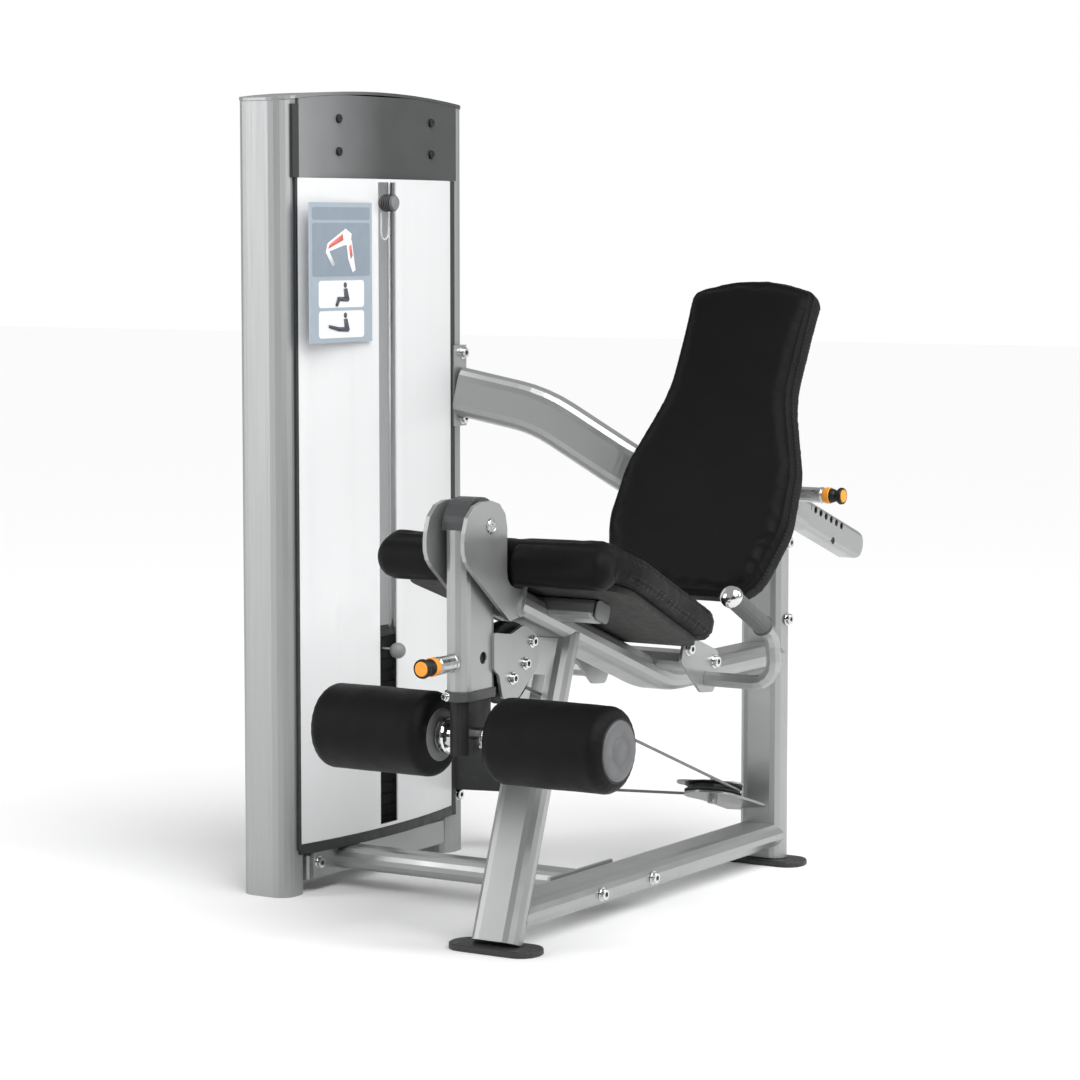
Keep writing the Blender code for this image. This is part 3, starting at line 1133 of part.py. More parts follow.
for centre in (top_rear_centre, top_stack_centre):
    cut(top_beam, as_cutter(box("wheel_slot", (0.023, 0.124, 0.050), centre + Vector((0, 0, 0.017)), None,
                                machine)))
    for side in (-1, 1):
        hanger = box("hanger", (0.004, 0.020, 0.032), centre + Vector((side * 0.014, -0.001, 0.002)), None,
                     machine)
        cut(top_beam, as_cutter(hanger), "UNION")
    cut(top_beam, as_cutter(cylinder("pin", 0.0057, 0.0300, centre, "X", None, machine, 10)), "UNION")

# ---------------------------------------------------------------- guard over the base pulley

GUARD_LOW = 0.1310
GUARD_HIGH = 0.2620
GUARD_REACH = 0.125
guard_turn = Matrix.Rotation(CABLE_TO_TOWER, 4, "Z")
guard_middle = Vector((base_centre.x, base_centre.y, (GUARD_HIGH + GUARD_LOW) / 2))
cable_guard = box("cable_guard", (GUARD_REACH + 0.060, 0.040, GUARD_HIGH - GUARD_LOW),
                  guard_middle - to_tower * (GUARD_REACH - 0.060) / 2, DARK_GREY, machine, guard_turn)
cut(cable_guard, as_cutter(box("guard_inside", (GUARD_REACH + 0.070, 0.034, GUARD_HIGH - GUARD_LOW - 0.008),
                               guard_middle - to_tower * (GUARD_REACH - 0.076) / 2, None, machine,
                               guard_turn)))
cut(cable_guard, as_cutter(box("guard_door", (0.020, 0.014, 0.014), base_tangent - to_tower * GUARD_REACH,
                               None,
                               machine, guard_turn)))
cut(cable_guard, as_cutter(box("column_side", (0.300, 0.300, 0.300),
                               (column_face + GAP - 0.150, base_centre.y, 0.2),
                               None, machine)))
to_base = Vector((0, 0, 1)).rotation_difference(base_axis).to_matrix().to_4x4()
guard_pin = cylinder("guard_pin", 0.0057, 0.0380, base_centre, None, None, machine, 10, turn=to_base)
cut(cable_guard, as_cutter(guard_pin), "UNION")
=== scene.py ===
import math

import bmesh
import bpy
import numpy as np
from mathutils import Matrix, Vector, noise
from mathutils.bvhtree import BVHTree
from mathutils.kdtree import KDTree


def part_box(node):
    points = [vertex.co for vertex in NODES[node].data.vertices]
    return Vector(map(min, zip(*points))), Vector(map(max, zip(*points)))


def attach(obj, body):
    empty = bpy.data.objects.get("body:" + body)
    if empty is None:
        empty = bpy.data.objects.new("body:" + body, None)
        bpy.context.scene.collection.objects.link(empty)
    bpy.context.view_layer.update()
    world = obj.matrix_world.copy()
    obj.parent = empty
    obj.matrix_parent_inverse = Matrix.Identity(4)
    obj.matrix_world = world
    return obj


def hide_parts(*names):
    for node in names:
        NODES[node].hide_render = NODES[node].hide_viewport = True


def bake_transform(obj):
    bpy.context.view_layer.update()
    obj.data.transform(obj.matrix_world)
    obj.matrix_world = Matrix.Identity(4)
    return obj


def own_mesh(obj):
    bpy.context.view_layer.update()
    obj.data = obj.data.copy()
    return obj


# The looks of the leg extension machine. Metres, +Z up: the user sits facing -Y, the tower stands at -X.

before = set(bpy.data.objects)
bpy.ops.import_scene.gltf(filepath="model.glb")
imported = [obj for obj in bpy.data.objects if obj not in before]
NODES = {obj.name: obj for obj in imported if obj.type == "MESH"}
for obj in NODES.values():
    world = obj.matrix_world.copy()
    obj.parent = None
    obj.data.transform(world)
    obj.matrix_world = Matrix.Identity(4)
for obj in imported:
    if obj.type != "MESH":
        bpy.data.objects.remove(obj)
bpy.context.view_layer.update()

# The design's drawing point: the floor under the front foot.
DRAWN = Vector((0.2145, -0.5829, 0.0))

SEAT_FRONT = DRAWN + Vector((0.0, 0.0, 0.7435))
SEAT_SLOPE = math.radians(21.0)
SEAT_DIR = Vector((0.0, math.cos(SEAT_SLOPE), -math.sin(SEAT_SLOPE)))
SEAT_UP = Vector((0.0, math.sin(SEAT_SLOPE), math.cos(SEAT_SLOPE)))
SEAT_LENGTH = 0.500
SEAT_THICK = 0.056

BACK_FOOT = DRAWN + Vector((0.0, 0.643, 0.584))
BACK_TILT = math.radians(27.7)
BACK_DIR = Vector((0.0, math.sin(BACK_TILT), math.cos(BACK_TILT)))
BACK_OUT = Vector((0.0, math.cos(BACK_TILT), -math.sin(BACK_TILT)))
BACK_LENGTH = 0.673
BACK_THICK = 0.058

LEVER_Y = -0.082
PIVOT = DRAWN + Vector((0.0, LEVER_Y, 0.768))
ROLLER_AXIS = DRAWN + Vector((0.0, LEVER_Y, 0.395))
ROLLER_R = 0.076
ROLLER_IN = 0.062
ROLLER_OUT = 0.300
LEVER_DEEP = 0.112
LEVER_THICK = 0.046
FIT = 0.0003

TOWER_X = DRAWN.x - 0.650
HEADER_FACE = 0.0606
STACK_Y = DRAWN.y + 0.490

PIN_HOUSING_R = 0.0157
LEVER_BARREL = 0.055
BACK_BARREL = 0.074

# The sliding rail behind the back rest: its slope, a point on its middle line, and half its width.
RAIL_SLOPE = math.radians(19.4)
RAIL_POINT = Vector((0.0, 1.174, 0.693))
RAIL_HALF = 0.023
RAIL_HOLE_STEP = 0.025

X_AXIS = Vector((1.0, 0.0, 0.0))
Y_AXIS = Vector((0.0, 1.0, 0.0))
Z_AXIS = Vector((0.0, 0.0, 1.0))


# ---------------------------------------------------------------- materials

class Look:
    """A Principled material and the nodes that give it its grain, variation and wear."""

    def __init__(self, name, colour, roughness, metallic=0.0, sockets=None):
        self.mat = bpy.data.materials.new(name)
        self.mat.use_nodes = True
        self.tree = self.mat.node_tree
        self.bsdf = self.tree.nodes["Principled BSDF"]
        self.colour = colour
        self.normal = None
        self.bsdf.inputs["Base Color"].default_value = (*colour, 1.0)
        self.bsdf.inputs["Roughness"].default_value = roughness
        self.bsdf.inputs["Metallic"].default_value = metallic
        for socket, value in (sockets or {}).items():
            self.bsdf.inputs[socket].default_value = value

    def node(self, kind, **settings):
        made = self.tree.nodes.new("ShaderNode" + kind)
        for key, value in settings.items():
            setattr(made, key, value)
        return made

    def link(self, output, socket):
        self.tree.links.new(output, socket)

    def place(self, stretch):
        """Object coordinates, stretched along each axis."""
        mapping = self.node("Mapping")
        mapping.inputs["Scale"].default_value = stretch
        self.link(self.node("TexCoord").outputs["Object"], mapping.inputs["Vector"])
        return mapping.outputs["Vector"]

    def noise(self, scale, detail=3.0, stretch=(1, 1, 1)):
        made = self.node("TexNoise")
        made.inputs["Scale"].default_value = scale
        made.inputs["Detail"].default_value = detail
        self.link(self.place(stretch), made.inputs["Vector"])
        return made.outputs["Fac"]

    def cells(self, scale, stretch=(1, 1, 1)):
        """Distance to the nearest cell edge."""
        made = self.node("TexVoronoi", feature="DISTANCE_TO_EDGE")
        made.inputs["Scale"].default_value = scale
        self.link(self.place(stretch), made.inputs["Vector"])
        return made.outputs["Distance"]

    def remap(self, value, low, high, to_low=0.0, to_high=1.0):
        made = self.node("MapRange")
        made.inputs["From Min"].default_value = low
        made.inputs["From Max"].default_value = high
        made.inputs["To Min"].default_value = to_low
        made.inputs["To Max"].default_value = to_high
        self.link(value, made.inputs["Value"])
        return made.outputs["Result"]

    def tint(self, value, other):
        """Mixes the colour so far with another one, by value."""
        made = self.node("Mix", data_type="RGBA")
        self.link(value, made.inputs[0])
        base = self.bsdf.inputs["Base Color"]
        if base.is_linked:
            self.link(base.links[0].from_socket, made.inputs[6])
        else:
            made.inputs[6].default_value = (*self.colour, 1.0)
        made.inputs[7].default_value = (*other, 1.0)
        self.link(made.outputs[2], base)

    def gloss(self, value, low, high):
        """Roughness between low and high, by value."""
        self.link(self.remap(value, 0.3, 0.7, low, high), self.bsdf.inputs["Roughness"])

    def bump(self, height, strength, distance):
        made = self.node("Bump")
        made.inputs["Strength"].default_value = strength
        made.inputs["Distance"].default_value = distance
        self.link(height, made.inputs["Height"])
        if self.normal:
            self.link(self.normal, made.inputs["Normal"])
        self.normal = made.outputs["Normal"]
        self.link(self.normal, self.bsdf.inputs["Normal"])

    def worn_edges(self, radius, bright, amount=0.5):
        """Rounds the edges' shading, and lightens the edges where the finish is rubbed."""
        bevel = self.node("Bevel", samples=4)
        bevel.inputs["Radius"].default_value = radius
        facing = self.node("VectorMath", operation="DOT_PRODUCT")
        self.link(bevel.outputs["Normal"], facing.inputs[0])
        self.link(self.node("NewGeometry").outputs["Normal"], facing.inputs[1])
        edge = self.remap(facing.outputs["Value"], 0.99, 0.80)
        patchy = self.node("Math", operation="MULTIPLY")
        self.link(edge, patchy.inputs[0])
        self.link(self.remap(self.noise(90.0, 4.0), 0.35, 0.75, 0.0, amount), patchy.inputs[1])
        self.tint(patchy.outputs["Value"], bright)
        self.normal = bevel.outputs["Normal"]
        self.link(self.normal, self.bsdf.inputs["Normal"])


def silver_paint(name="look_silver_paint", colour=(0.39, 0.397, 0.395)):
    """Metallic silver powder coat: fine flake, slight orange peel, rubbed edges."""
    look = Look(name, colour, 0.34, 0.72, {"Coat Weight": 0.25, "Coat Roughness": 0.25})
    look.worn_edges(0.0012, (0.62, 0.63, 0.63), 0.6)
    look.tint(look.remap(look.noise(2600.0, 2.0), 0.55, 0.72, 0.0, 0.35), (0.62, 0.63, 0.635))
    look.tint(look.remap(look.noise(7.0, 3.0), 0.35, 0.75, 0.0, 0.20), (0.32, 0.328, 0.33))
    look.gloss(look.noise(18.0, 4.0), 0.29, 0.40)
    look.bump(look.noise(420.0, 2.0), 0.06, 0.0004)
    return look.mat


def brushed_aluminium():
    """Satin extrusion with fine drawing lines up its length."""
    look = Look("look_brushed_aluminium", (0.42, 0.425, 0.427), 0.50, 0.90)
    look.worn_edges(0.0010, (0.66, 0.66, 0.67), 0.5)
    lines = look.noise(900.0, 3.0, (1, 1, 0.006))
    look.tint(look.remap(lines, 0.35, 0.70, 0.0, 0.28), (0.29, 0.294, 0.298))
    look.tint(look.remap(look.noise(5.0, 2.0, (1, 1, 0.3)), 0.40, 0.75, 0.0, 0.15), (0.48, 0.48, 0.48))
    look.gloss(look.noise(300.0, 3.0, (1, 1, 0.01)), 0.46, 0.56)
    look.bump(lines, 0.05, 0.0003)
    return look.mat


def header_grey():
    """Dark metallic paint on sheet, with a painted sheen that lightens it towards the front."""
    look = Look("look_header_grey", (0.075, 0.077, 0.078), 0.40, 0.45,
                {"Coat Weight": 0.15, "Coat Roughness": 0.3})
    # Painted highlight: the base colour lightens towards the front of the sheet, standing in for the sheen
    # it reflects there.
    split = look.node("SeparateXYZ")
    look.link(look.place((1, 1, 1)), split.inputs["Vector"])
    look.tint(look.remap(split.outputs["Y"], STACK_Y + 0.02, STACK_Y - 0.30), (0.36, 0.365, 0.37))
    look.worn_edges(0.0012, (0.34, 0.34, 0.35), 0.6)
    look.tint(look.remap(look.noise(2200.0, 2.0), 0.55, 0.72, 0.0, 0.25), (0.24, 0.24, 0.25))
    look.gloss(look.noise(14.0, 4.0), 0.30, 0.44)
    look.bump(look.noise(380.0, 2.0), 0.07, 0.0004)
    return look.mat


def dark_grey_paint():
    """Satin dark grey moulding, pebbled and dulled by scuffs."""
    look = Look("look_dark_grey_paint", (0.030, 0.0305, 0.031), 0.48, 0.1)
    look.worn_edges(0.0012, (0.11, 0.11, 0.11), 0.5)
    look.tint(look.remap(look.noise(60.0, 6.0), 0.58, 0.80, 0.0, 0.5), (0.060, 0.060, 0.060))
    look.gloss(look.noise(40.0, 4.0), 0.38, 0.58)
    look.bump(look.noise(900.0, 2.0), 0.18, 0.0004)
    return look.mat


def plastic(name, colour, light, roughness=0.42):
    """Moulded plastic with a fine spark-eroded grain."""
    look = Look(name, colour, roughness, 0.0, {"Specular IOR Level": 0.3})
    look.tint(look.remap(look.noise(35.0, 5.0), 0.50, 0.80, 0.0, 0.45), light)
    look.gloss(look.noise(55.0, 4.0), roughness - 0.07, roughness + 0.09)
    look.bump(look.noise(1500.0, 2.0), 0.20, 0.0003)
    return look.mat


def vinyl():
    """Black upholstery vinyl: leather grain, soft creases, a faint sheen and shine where it is rubbed."""
    look = Look("look_black_vinyl", (0.0036, 0.0036, 0.0038), 0.46, 0.0,
                {"Sheen Weight": 0.01, "Sheen Roughness": 0.40, "Specular IOR Level": 0.13})
    look.tint(look.remap(look.noise(9.0, 4.0), 0.40, 0.75, 0.0, 0.6), (0.0055, 0.0055, 0.0058))
    grain = look.cells(620.0)
    look.tint(look.remap(grain, 0.10, 0.0, 0.0, 0.55), (0.0016, 0.0016, 0.0017))
    look.gloss(look.noise(24.0, 4.0), 0.40, 0.54)
    look.bump(look.noise(30.0, 5.0), 0.20, 0.0016)
    look.bump(look.remap(grain, 0.0, 0.22), 0.30, 0.0005)
    return look.mat


def frosted():
    """Frosted polycarbonate: milky, with a satin face that lets dark things inside show faintly."""
    look = Look("look_frosted_panel", (0.95, 0.96, 0.965), 0.34, 0.0,
                {"Alpha": 0.68, "Coat Weight": 0.3, "Coat Roughness": 0.15, "Specular IOR Level": 0.5})
    look.tint(look.remap(look.noise(3.0, 3.0, (1, 1, 0.4)), 0.40, 0.75, 0.0, 0.20), (0.88, 0.90, 0.91))
    look.gloss(look.noise(40.0, 4.0), 0.28, 0.42)
    look.bump(look.noise(1300.0, 2.0), 0.10, 0.0003)
    return look.mat


def chrome(name="look_chrome", colour=(0.74, 0.745, 0.75), roughness=0.12):
    """Plated steel with faint polishing marks and dulled patches."""
    look = Look(name, colour, roughness, 1.0)
    look.tint(look.remap(look.noise(30.0, 4.0), 0.45, 0.80, 0.0, 0.35), (0.58, 0.58, 0.59))
    look.gloss(look.noise(160.0, 4.0), max(roughness - 0.05, 0.04), roughness + 0.08)
    look.bump(look.noise(700.0, 3.0), 0.012, 0.0002)
    return look.mat


def black_steel():
    """Black powder coat, slightly textured, greyer at the edges."""
    look = Look("look_black_steel", (0.013, 0.013, 0.0135), 0.46, 0.1, {"Specular IOR Level": 0.3})
    look.worn_edges(0.0010, (0.09, 0.09, 0.09), 0.5)
    look.tint(look.remap(look.noise(22.0, 5.0), 0.50, 0.80, 0.0, 0.5), (0.030, 0.030, 0.031))
    look.gloss(look.noise(35.0, 4.0), 0.36, 0.56)
    look.bump(look.noise(700.0, 2.0), 0.16, 0.0004)
    return look.mat


def rubber():
    """Grey foam rubber with a soft pore."""
    look = Look("look_rubber_grip", (0.085, 0.087, 0.089), 0.62, 0.0, {"Sheen Weight": 0.15})
    look.tint(look.remap(look.noise(45.0, 5.0), 0.45, 0.75, 0.0, 0.5), (0.060, 0.061, 0.063))
    look.tint(look.remap(look.cells(900.0), 0.08, 0.0, 0.0, 0.6), (0.035, 0.035, 0.035))
    look.gloss(look.noise(70.0, 3.0), 0.54, 0.72)
    look.bump(look.noise(1300.0, 2.0), 0.35, 0.0004)
    return look.mat


def cable_coat():
    """Nylon-coated steel cable: the wires' lay shows through as a fine twist."""
    look = Look("look_cable_coat", (0.12, 0.122, 0.125), 0.36, 0.0,
                {"Coat Weight": 0.4, "Coat Roughness": 0.2})
    look.tint(look.remap(look.noise(900.0, 2.0, (1, 0.3, 0.3)), 0.45, 0.65, 0.0, 0.6), (0.24, 0.24, 0.245))
    look.gloss(look.noise(300.0, 2.0), 0.28, 0.44)
    look.bump(look.noise(1200.0, 2.0, (1, 0.3, 0.3)), 0.3, 0.0004)
    return look.mat


def board():
    """Painted plywood under the seat."""
    look = Look("look_board", (0.030, 0.029, 0.028), 0.72)
    look.tint(look.remap(look.noise(50.0, 5.0, (1, 0.08, 1)), 0.40, 0.75, 0.0, 0.6), (0.055, 0.052, 0.048))
    look.gloss(look.noise(60.0, 4.0), 0.62, 0.82)
    look.bump(look.noise(300.0, 3.0, (1, 0.08, 1)), 0.3, 0.0006)
    return look.mat


def printed(name, colour, light):
    """Printed card or film with a faint paper mottle."""
    look = Look(name, colour, 0.42, 0.0, {"Coat Weight": 0.3, "Coat Roughness": 0.3})
    look.tint(look.remap(look.noise(40.0, 5.0), 0.45, 0.80, 0.0, 0.4), light)
    look.gloss(look.noise(80.0, 3.0), 0.36, 0.50)
    look.bump(look.noise(900.0, 2.0), 0.08, 0.0002)
    return look.mat


def clear_plastic():
    """Clear moulded strap, faintly cloudy."""
    look = Look("look_clear_plastic", (0.90, 0.92, 0.93), 0.12, 0.0, {"Alpha": 0.38, "Coat Weight": 0.6})
    look.tint(look.remap(look.noise(60.0, 3.0), 0.45, 0.80, 0.0, 0.5), (0.74, 0.77, 0.79))
    look.gloss(look.noise(90.0, 3.0), 0.08, 0.20)
    look.bump(look.noise(500.0, 2.0), 0.10, 0.0003)
    return look.mat


def thread():
    """Twisted polyester thread."""
    look = Look("look_thread", (0.030, 0.030, 0.031), 0.60, 0.0, {"Sheen Weight": 0.3})
    look.tint(look.remap(look.noise(3500.0, 2.0), 0.40, 0.65), (0.065, 0.065, 0.067))
    look.bump(look.noise(4000.0, 2.0), 0.4, 0.0002)
    return look.mat


def studio_floor():
    """White studio floor, very slightly uneven."""
    look = Look("look_floor", (0.94, 0.94, 0.94), 0.75, 0.0, {"Specular IOR Level": 0.1})
    look.tint(look.remap(look.noise(1.3, 4.0), 0.40, 0.75, 0.0, 0.3), (0.92, 0.92, 0.922))
    return look.mat


SILVER = silver_paint()
ALUMINIUM = brushed_aluminium()
HEADER = header_grey()
DARK_GREY = dark_grey_paint()
BLACK_PLASTIC = plastic("look_black_plastic", (0.012, 0.012, 0.0125), (0.024, 0.024, 0.025))
GREY_PLASTIC = plastic("look_grey_plastic", (0.125, 0.127, 0.130), (0.17, 0.17, 0.175))
MID_GREY_PLASTIC = plastic("look_mid_grey_plastic", (0.21, 0.213, 0.215), (0.27, 0.27, 0.275))
CAP_GREY = plastic("look_cap_grey", (0.060, 0.061, 0.063), (0.09, 0.09, 0.092), 0.30)
VINYL = vinyl()
FROSTED = frosted()
CHROME = chrome()
SATIN_STEEL = chrome("look_satin_steel", (0.60, 0.605, 0.61), 0.30)
BLACK_STEEL = black_steel()
RUBBER = rubber()
CABLE = cable_coat()
BOARD = board()
CARD = printed("look_card", (0.36, 0.42, 0.48), (0.43, 0.48, 0.53))
CARD_DARK = printed("look_card_dark", (0.25, 0.30, 0.36), (0.30, 0.35, 0.41))
CARD_WHITE = printed("look_card_white", (0.86, 0.87, 0.88), (0.80, 0.81, 0.83))
CARD_SALMON = printed("look_card_salmon", (0.80, 0.17, 0.13), (0.84, 0.25, 0.19))
CARD_INK = printed("look_card_ink", (0.060, 0.070, 0.085), (0.09, 0.10, 0.11))
ORANGE = plastic("look_orange_plastic", (0.86, 0.33, 0.035), (0.90, 0.42, 0.08), 0.36)
CLEAR = clear_plastic()
THREAD = thread()

FINISH = {
    "silver_paint": SILVER, "brushed_aluminium": ALUMINIUM, "header_grey": HEADER,
    "dark_grey_paint": DARK_GREY, "black_plastic": BLACK_PLASTIC, "grey_plastic": GREY_PLASTIC,
    "black_vinyl": VINYL, "frosted_panel": FROSTED, "chrome": CHROME, "black_steel": BLACK_STEEL,
    "rubber_grip": RUBBER, "cable_coat": CABLE, "board": BOARD, "card": CARD}
SPECIAL = {"lever_cap": CAP_GREY, "lever_pin_housing": SATIN_STEEL, "back_pin_housing": SATIN_STEEL}


def dress_frame():
    """Gives each CAD node its finish, by the name of its material slot."""
    for name, obj in NODES.items():
        for slot in obj.material_slots:
            plain = slot.material.name.split(".")[0]
            slot.material = SPECIAL.get(name, FINISH[plain])


# ---------------------------------------------------------------- mesh helpers

def shown(name, mesh, mat, body):
    """Puts a mesh in the scene with its material, on the body that carries it."""
    obj = bpy.data.objects.new(name, mesh)
    bpy.context.scene.collection.objects.link(obj)
    mesh.materials.append(mat)
    mesh.polygons.foreach_set("use_smooth", [True] * len(mesh.polygons))
    if body:
        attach(obj, body)
    return obj


def frame_of(direction):
    """A turn that takes +Z to the direction."""
    return Z_AXIS.rotation_difference(Vector(direction)).to_matrix()


def lathe(name, profile, at, axis, mat, body, sides=40, ripple=None, sharp=35):
    """A turned piece from (radius, height) points; ripple(angle, radius, height) moves a point out."""
    turn = frame_of(axis)
    bm = bmesh.new()
    rings = []
    for radius, height in profile:
        if radius == 0.0:
            rings.append([bm.verts.new(Vector(at) + turn @ Vector((0, 0, height)))])
            continue
        ring = []
        for k in range(sides):
            angle = 2 * math.pi * k / sides
            reach = radius + (ripple(angle, radius, height) if ripple else 0.0)
            spot = Vector((reach * math.cos(angle), reach * math.sin(angle), height))
            ring.append(bm.verts.new(Vector(at) + turn @ spot))
        rings.append(ring)
    closed = profile[0][0] > 0.0
    pairs = list(zip(rings, rings[1:])) + ([(rings[-1], rings[0])] if closed else [])
    for low, high in pairs:
        for k in range(sides):
            corners = [low[k % len(low)], low[(k + 1) % len(low)],
                       high[(k + 1) % len(high)], high[k % len(high)]]
            unique = list(dict.fromkeys(corners))
            if len(unique) > 2:
                bm.faces.new(unique)
    return finished(name, bm, mat, body, sharp)


def finished(name, bm, mat, body, sharp=35):
    """Turns a bmesh into a shown piece, smooth except at its sharp edges."""
    bmesh.ops.recalc_face_normals(bm, faces=bm.faces)
    limit = math.radians(sharp)
    for edge in bm.edges:
        if len(edge.link_faces) == 2 and edge.calc_face_angle(0.0) > limit:
            edge.smooth = False
    mesh = bpy.data.meshes.new(name)
    bm.to_mesh(mesh)
    bm.free()
    return shown(name, mesh, mat, body)


def prism(name, outline, thick, at, turn, mat, body, bevel=0.0, segments=2):
    """A flat outline given thickness, with its outer edges rounded."""
    bm = bmesh.new()
    face = bm.faces.new([bm.verts.new(Vector((x, y, -thick / 2))) for x, y in outline])
    made = bmesh.ops.extrude_face_region(bm, geom=[face])
    top = [item for item in made["geom"] if isinstance(item, bmesh.types.BMVert)]
    bmesh.ops.translate(bm, verts=top, vec=(0, 0, thick))
    if bevel:
        rims = [edge for edge in bm.edges if len(edge.link_faces) == 2 and edge.calc_face_angle(0.0) > 1.2]
        bmesh.ops.bevel(bm, geom=rims, offset=bevel, segments=segments, affect="EDGES", profile=0.5)
    bmesh.ops.transform(bm, matrix=Matrix.Translation(at) @ turn.to_4x4(), verts=bm.verts)
    return finished(name, bm, mat, body)


def arc(centre, radius, start, end, count):
    """Points on an arc, angles in degrees."""
    turns = [math.radians(start + (end - start) * i / count) for i in range(count + 1)]
    return [(centre[0] + radius * math.cos(a), centre[1] + radius * math.sin(a)) for a in turns]


def rounded_box(width, height, radius, count=5):
    """A rectangle's outline with round corners, about the origin."""
    x, y = width / 2 - radius, height / 2 - radius
    points = arc((x, y), radius, 0, 90, count) + arc((-x, y), radius, 90, 180, count)
    return points + arc((-x, -y), radius, 180, 270, count) + arc((x, -y), radius, 270, 360, count)


def tube(name, points, radius, mat, body, sides=12, closed=False):
    """A round tube through points, as a mesh."""
    points = [Vector(point) for point in points]
    bm = bmesh.new()
    rings = []
    total = len(points)
    side = None
    for i, point in enumerate(points):
        before = points[i - 1] if closed or i else point
        after = points[(i + 1) % total] if closed or i < total - 1 else point
        along = (after - before).normalized()
        if side is None:
            side = along.orthogonal().normalized()
        side = (side - along * side.dot(along)).normalized()
        other = along.cross(side)
        ring = []
        for k in range(sides):
            angle = 2 * math.pi * k / sides
            ring.append(bm.verts.new(point + (side * math.cos(angle) + other * math.sin(angle)) * radius))
        rings.append(ring)
    pairs = list(zip(rings, rings[1:])) + ([(rings[-1], rings[0])] if closed else [])
    for low, high in pairs:
        for k in range(sides):
            bm.faces.new([low[k], low[(k + 1) % sides], high[(k + 1) % sides], high[k]])
    if not closed:
        bm.faces.new(rings[0])
        bm.faces.new(rings[-1])
    return finished(name, bm, mat, body, 50)


# ---------------------------------------------------------------- cushions

VOXEL = 0.0065
START_IN = 0.0025
LOFT_MOST = 0.009
CROWN = 0.007
SHRINK_MOST = 0.0030
BOARD_GAP = 0.0002
SIDE_LOFT = 0.0004
CLOTH_FRAMES = 20
GROOVE_DEPTH = 0.0022
GROOVE_WIDTH = 0.0055
WELT_R = 0.0011
STITCH_OFFSET = 0.0045


def applied(obj):
    """The object's mesh with its modifiers worked in."""
    depsgraph = bpy.context.evaluated_depsgraph_get()
    mesh = bpy.data.meshes.new_from_object(obj.evaluated_get(depsgraph))
    obj.modifiers.clear()
    obj.data = mesh
    return obj


def points_of(mesh):
    flat = np.empty(len(mesh.vertices) * 3)
    mesh.vertices.foreach_get("co", flat)
    return flat.reshape(-1, 3)


def normals_of(mesh):
    flat = np.empty(len(mesh.vertices) * 3)
    mesh.vertices.foreach_get("normal", flat)
    return flat.reshape(-1, 3)


def set_points(mesh, points):
    mesh.vertices.foreach_set("co", np.ascontiguousarray(points, dtype=np.float64).ravel())
    mesh.update()


def surface_of(mesh):
    """The mesh as a search tree for its nearest surface."""
    return BVHTree.FromPolygons([v.co.copy() for v in mesh.vertices],
                                [tuple(p.vertices) for p in mesh.polygons])


def welded_copy(node):
    """The node's solid as a fresh mesh with its doubled vertices merged."""
    bm = bmesh.new()
    bm.from_mesh(NODES[node].data)
    bmesh.ops.remove_doubles(bm, verts=bm.verts, dist=0.00005)
    mesh = bpy.data.meshes.new(node + "_solid")
    bm.to_mesh(mesh)
    bm.free()
    return mesh


def stuffed(name, node, face):
    """A padded form in the node's place: its solid, inflated under cloth, held to the room it has."""
    solid = welded_copy(node)
    hull = surface_of(solid)
    obj = bpy.data.objects.new(name, solid.copy())
    bpy.context.scene.collection.objects.link(obj)
    remesh = obj.modifiers.new("Remesh", "REMESH")
    remesh.mode = "VOXEL"
    remesh.voxel_size = VOXEL
    soften = obj.modifiers.new("Soften", "SMOOTH")
    soften.factor = 0.5
    soften.iterations = 6
    applied(obj)
    start = points_of(obj.data) - normals_of(obj.data) * START_IN
    set_points(obj.data, start)
    inflate(obj)
    moved = points_of(obj.data) - start
    length = np.linalg.norm(moved, axis=1)
    scale = np.minimum(1.0, LOFT_MOST / np.maximum(length, 1e-9))
    set_points(obj.data, start + moved * scale[:, None])
    hold_in(obj.data, hull, face)
    subdivide = obj.modifiers.new("Subdivision", "SUBSURF")
    subdivide.levels = 1
    subdivide.render_levels = 1
    applied(obj)
    obj.data.polygons.foreach_set("use_smooth", [True] * len(obj.data.polygons))
    obj.data.materials.clear()
    obj.data.materials.append(VINYL)
    bpy.data.meshes.remove(solid)
    return obj


def inflate(obj):
    """A short run of cloth under pressure, with no gravity."""
    cloth = obj.modifiers.new("Cloth", "CLOTH")
    cloth.settings.use_pressure = True
    cloth.settings.uniform_pressure_force = 4.0
    cloth.settings.effector_weights.gravity = 0.0
    cloth.settings.quality = 5
    cloth.point_cache.frame_start = 1
    cloth.point_cache.frame_end = CLOTH_FRAMES
    scene = bpy.context.scene
    for number in range(1, CLOTH_FRAMES + 1):
        scene.frame_set(number)
    applied(obj)
    scene.frame_set(1)


def hold_in(mesh, hull, face):
    """Keeps the form to its room: proud on the sitting face, flat at the board, never much inside."""
    points = points_of(mesh)
    for i, point in enumerate(points):
        spot, normal, _, _ = hull.find_nearest(Vector(point))
        lean = normal.dot(face)
        if lean > 0.5:
            allowed = CROWN
        elif lean < -0.5:
            allowed = -BOARD_GAP
        else:
            allowed = SIDE_LOFT
        out = (Vector(point) - spot).dot(normal)
        held = min(max(out, -SHRINK_MOST), allowed)
        points[i] = point + np.array(normal) * (held - out)
    set_points(mesh, points)


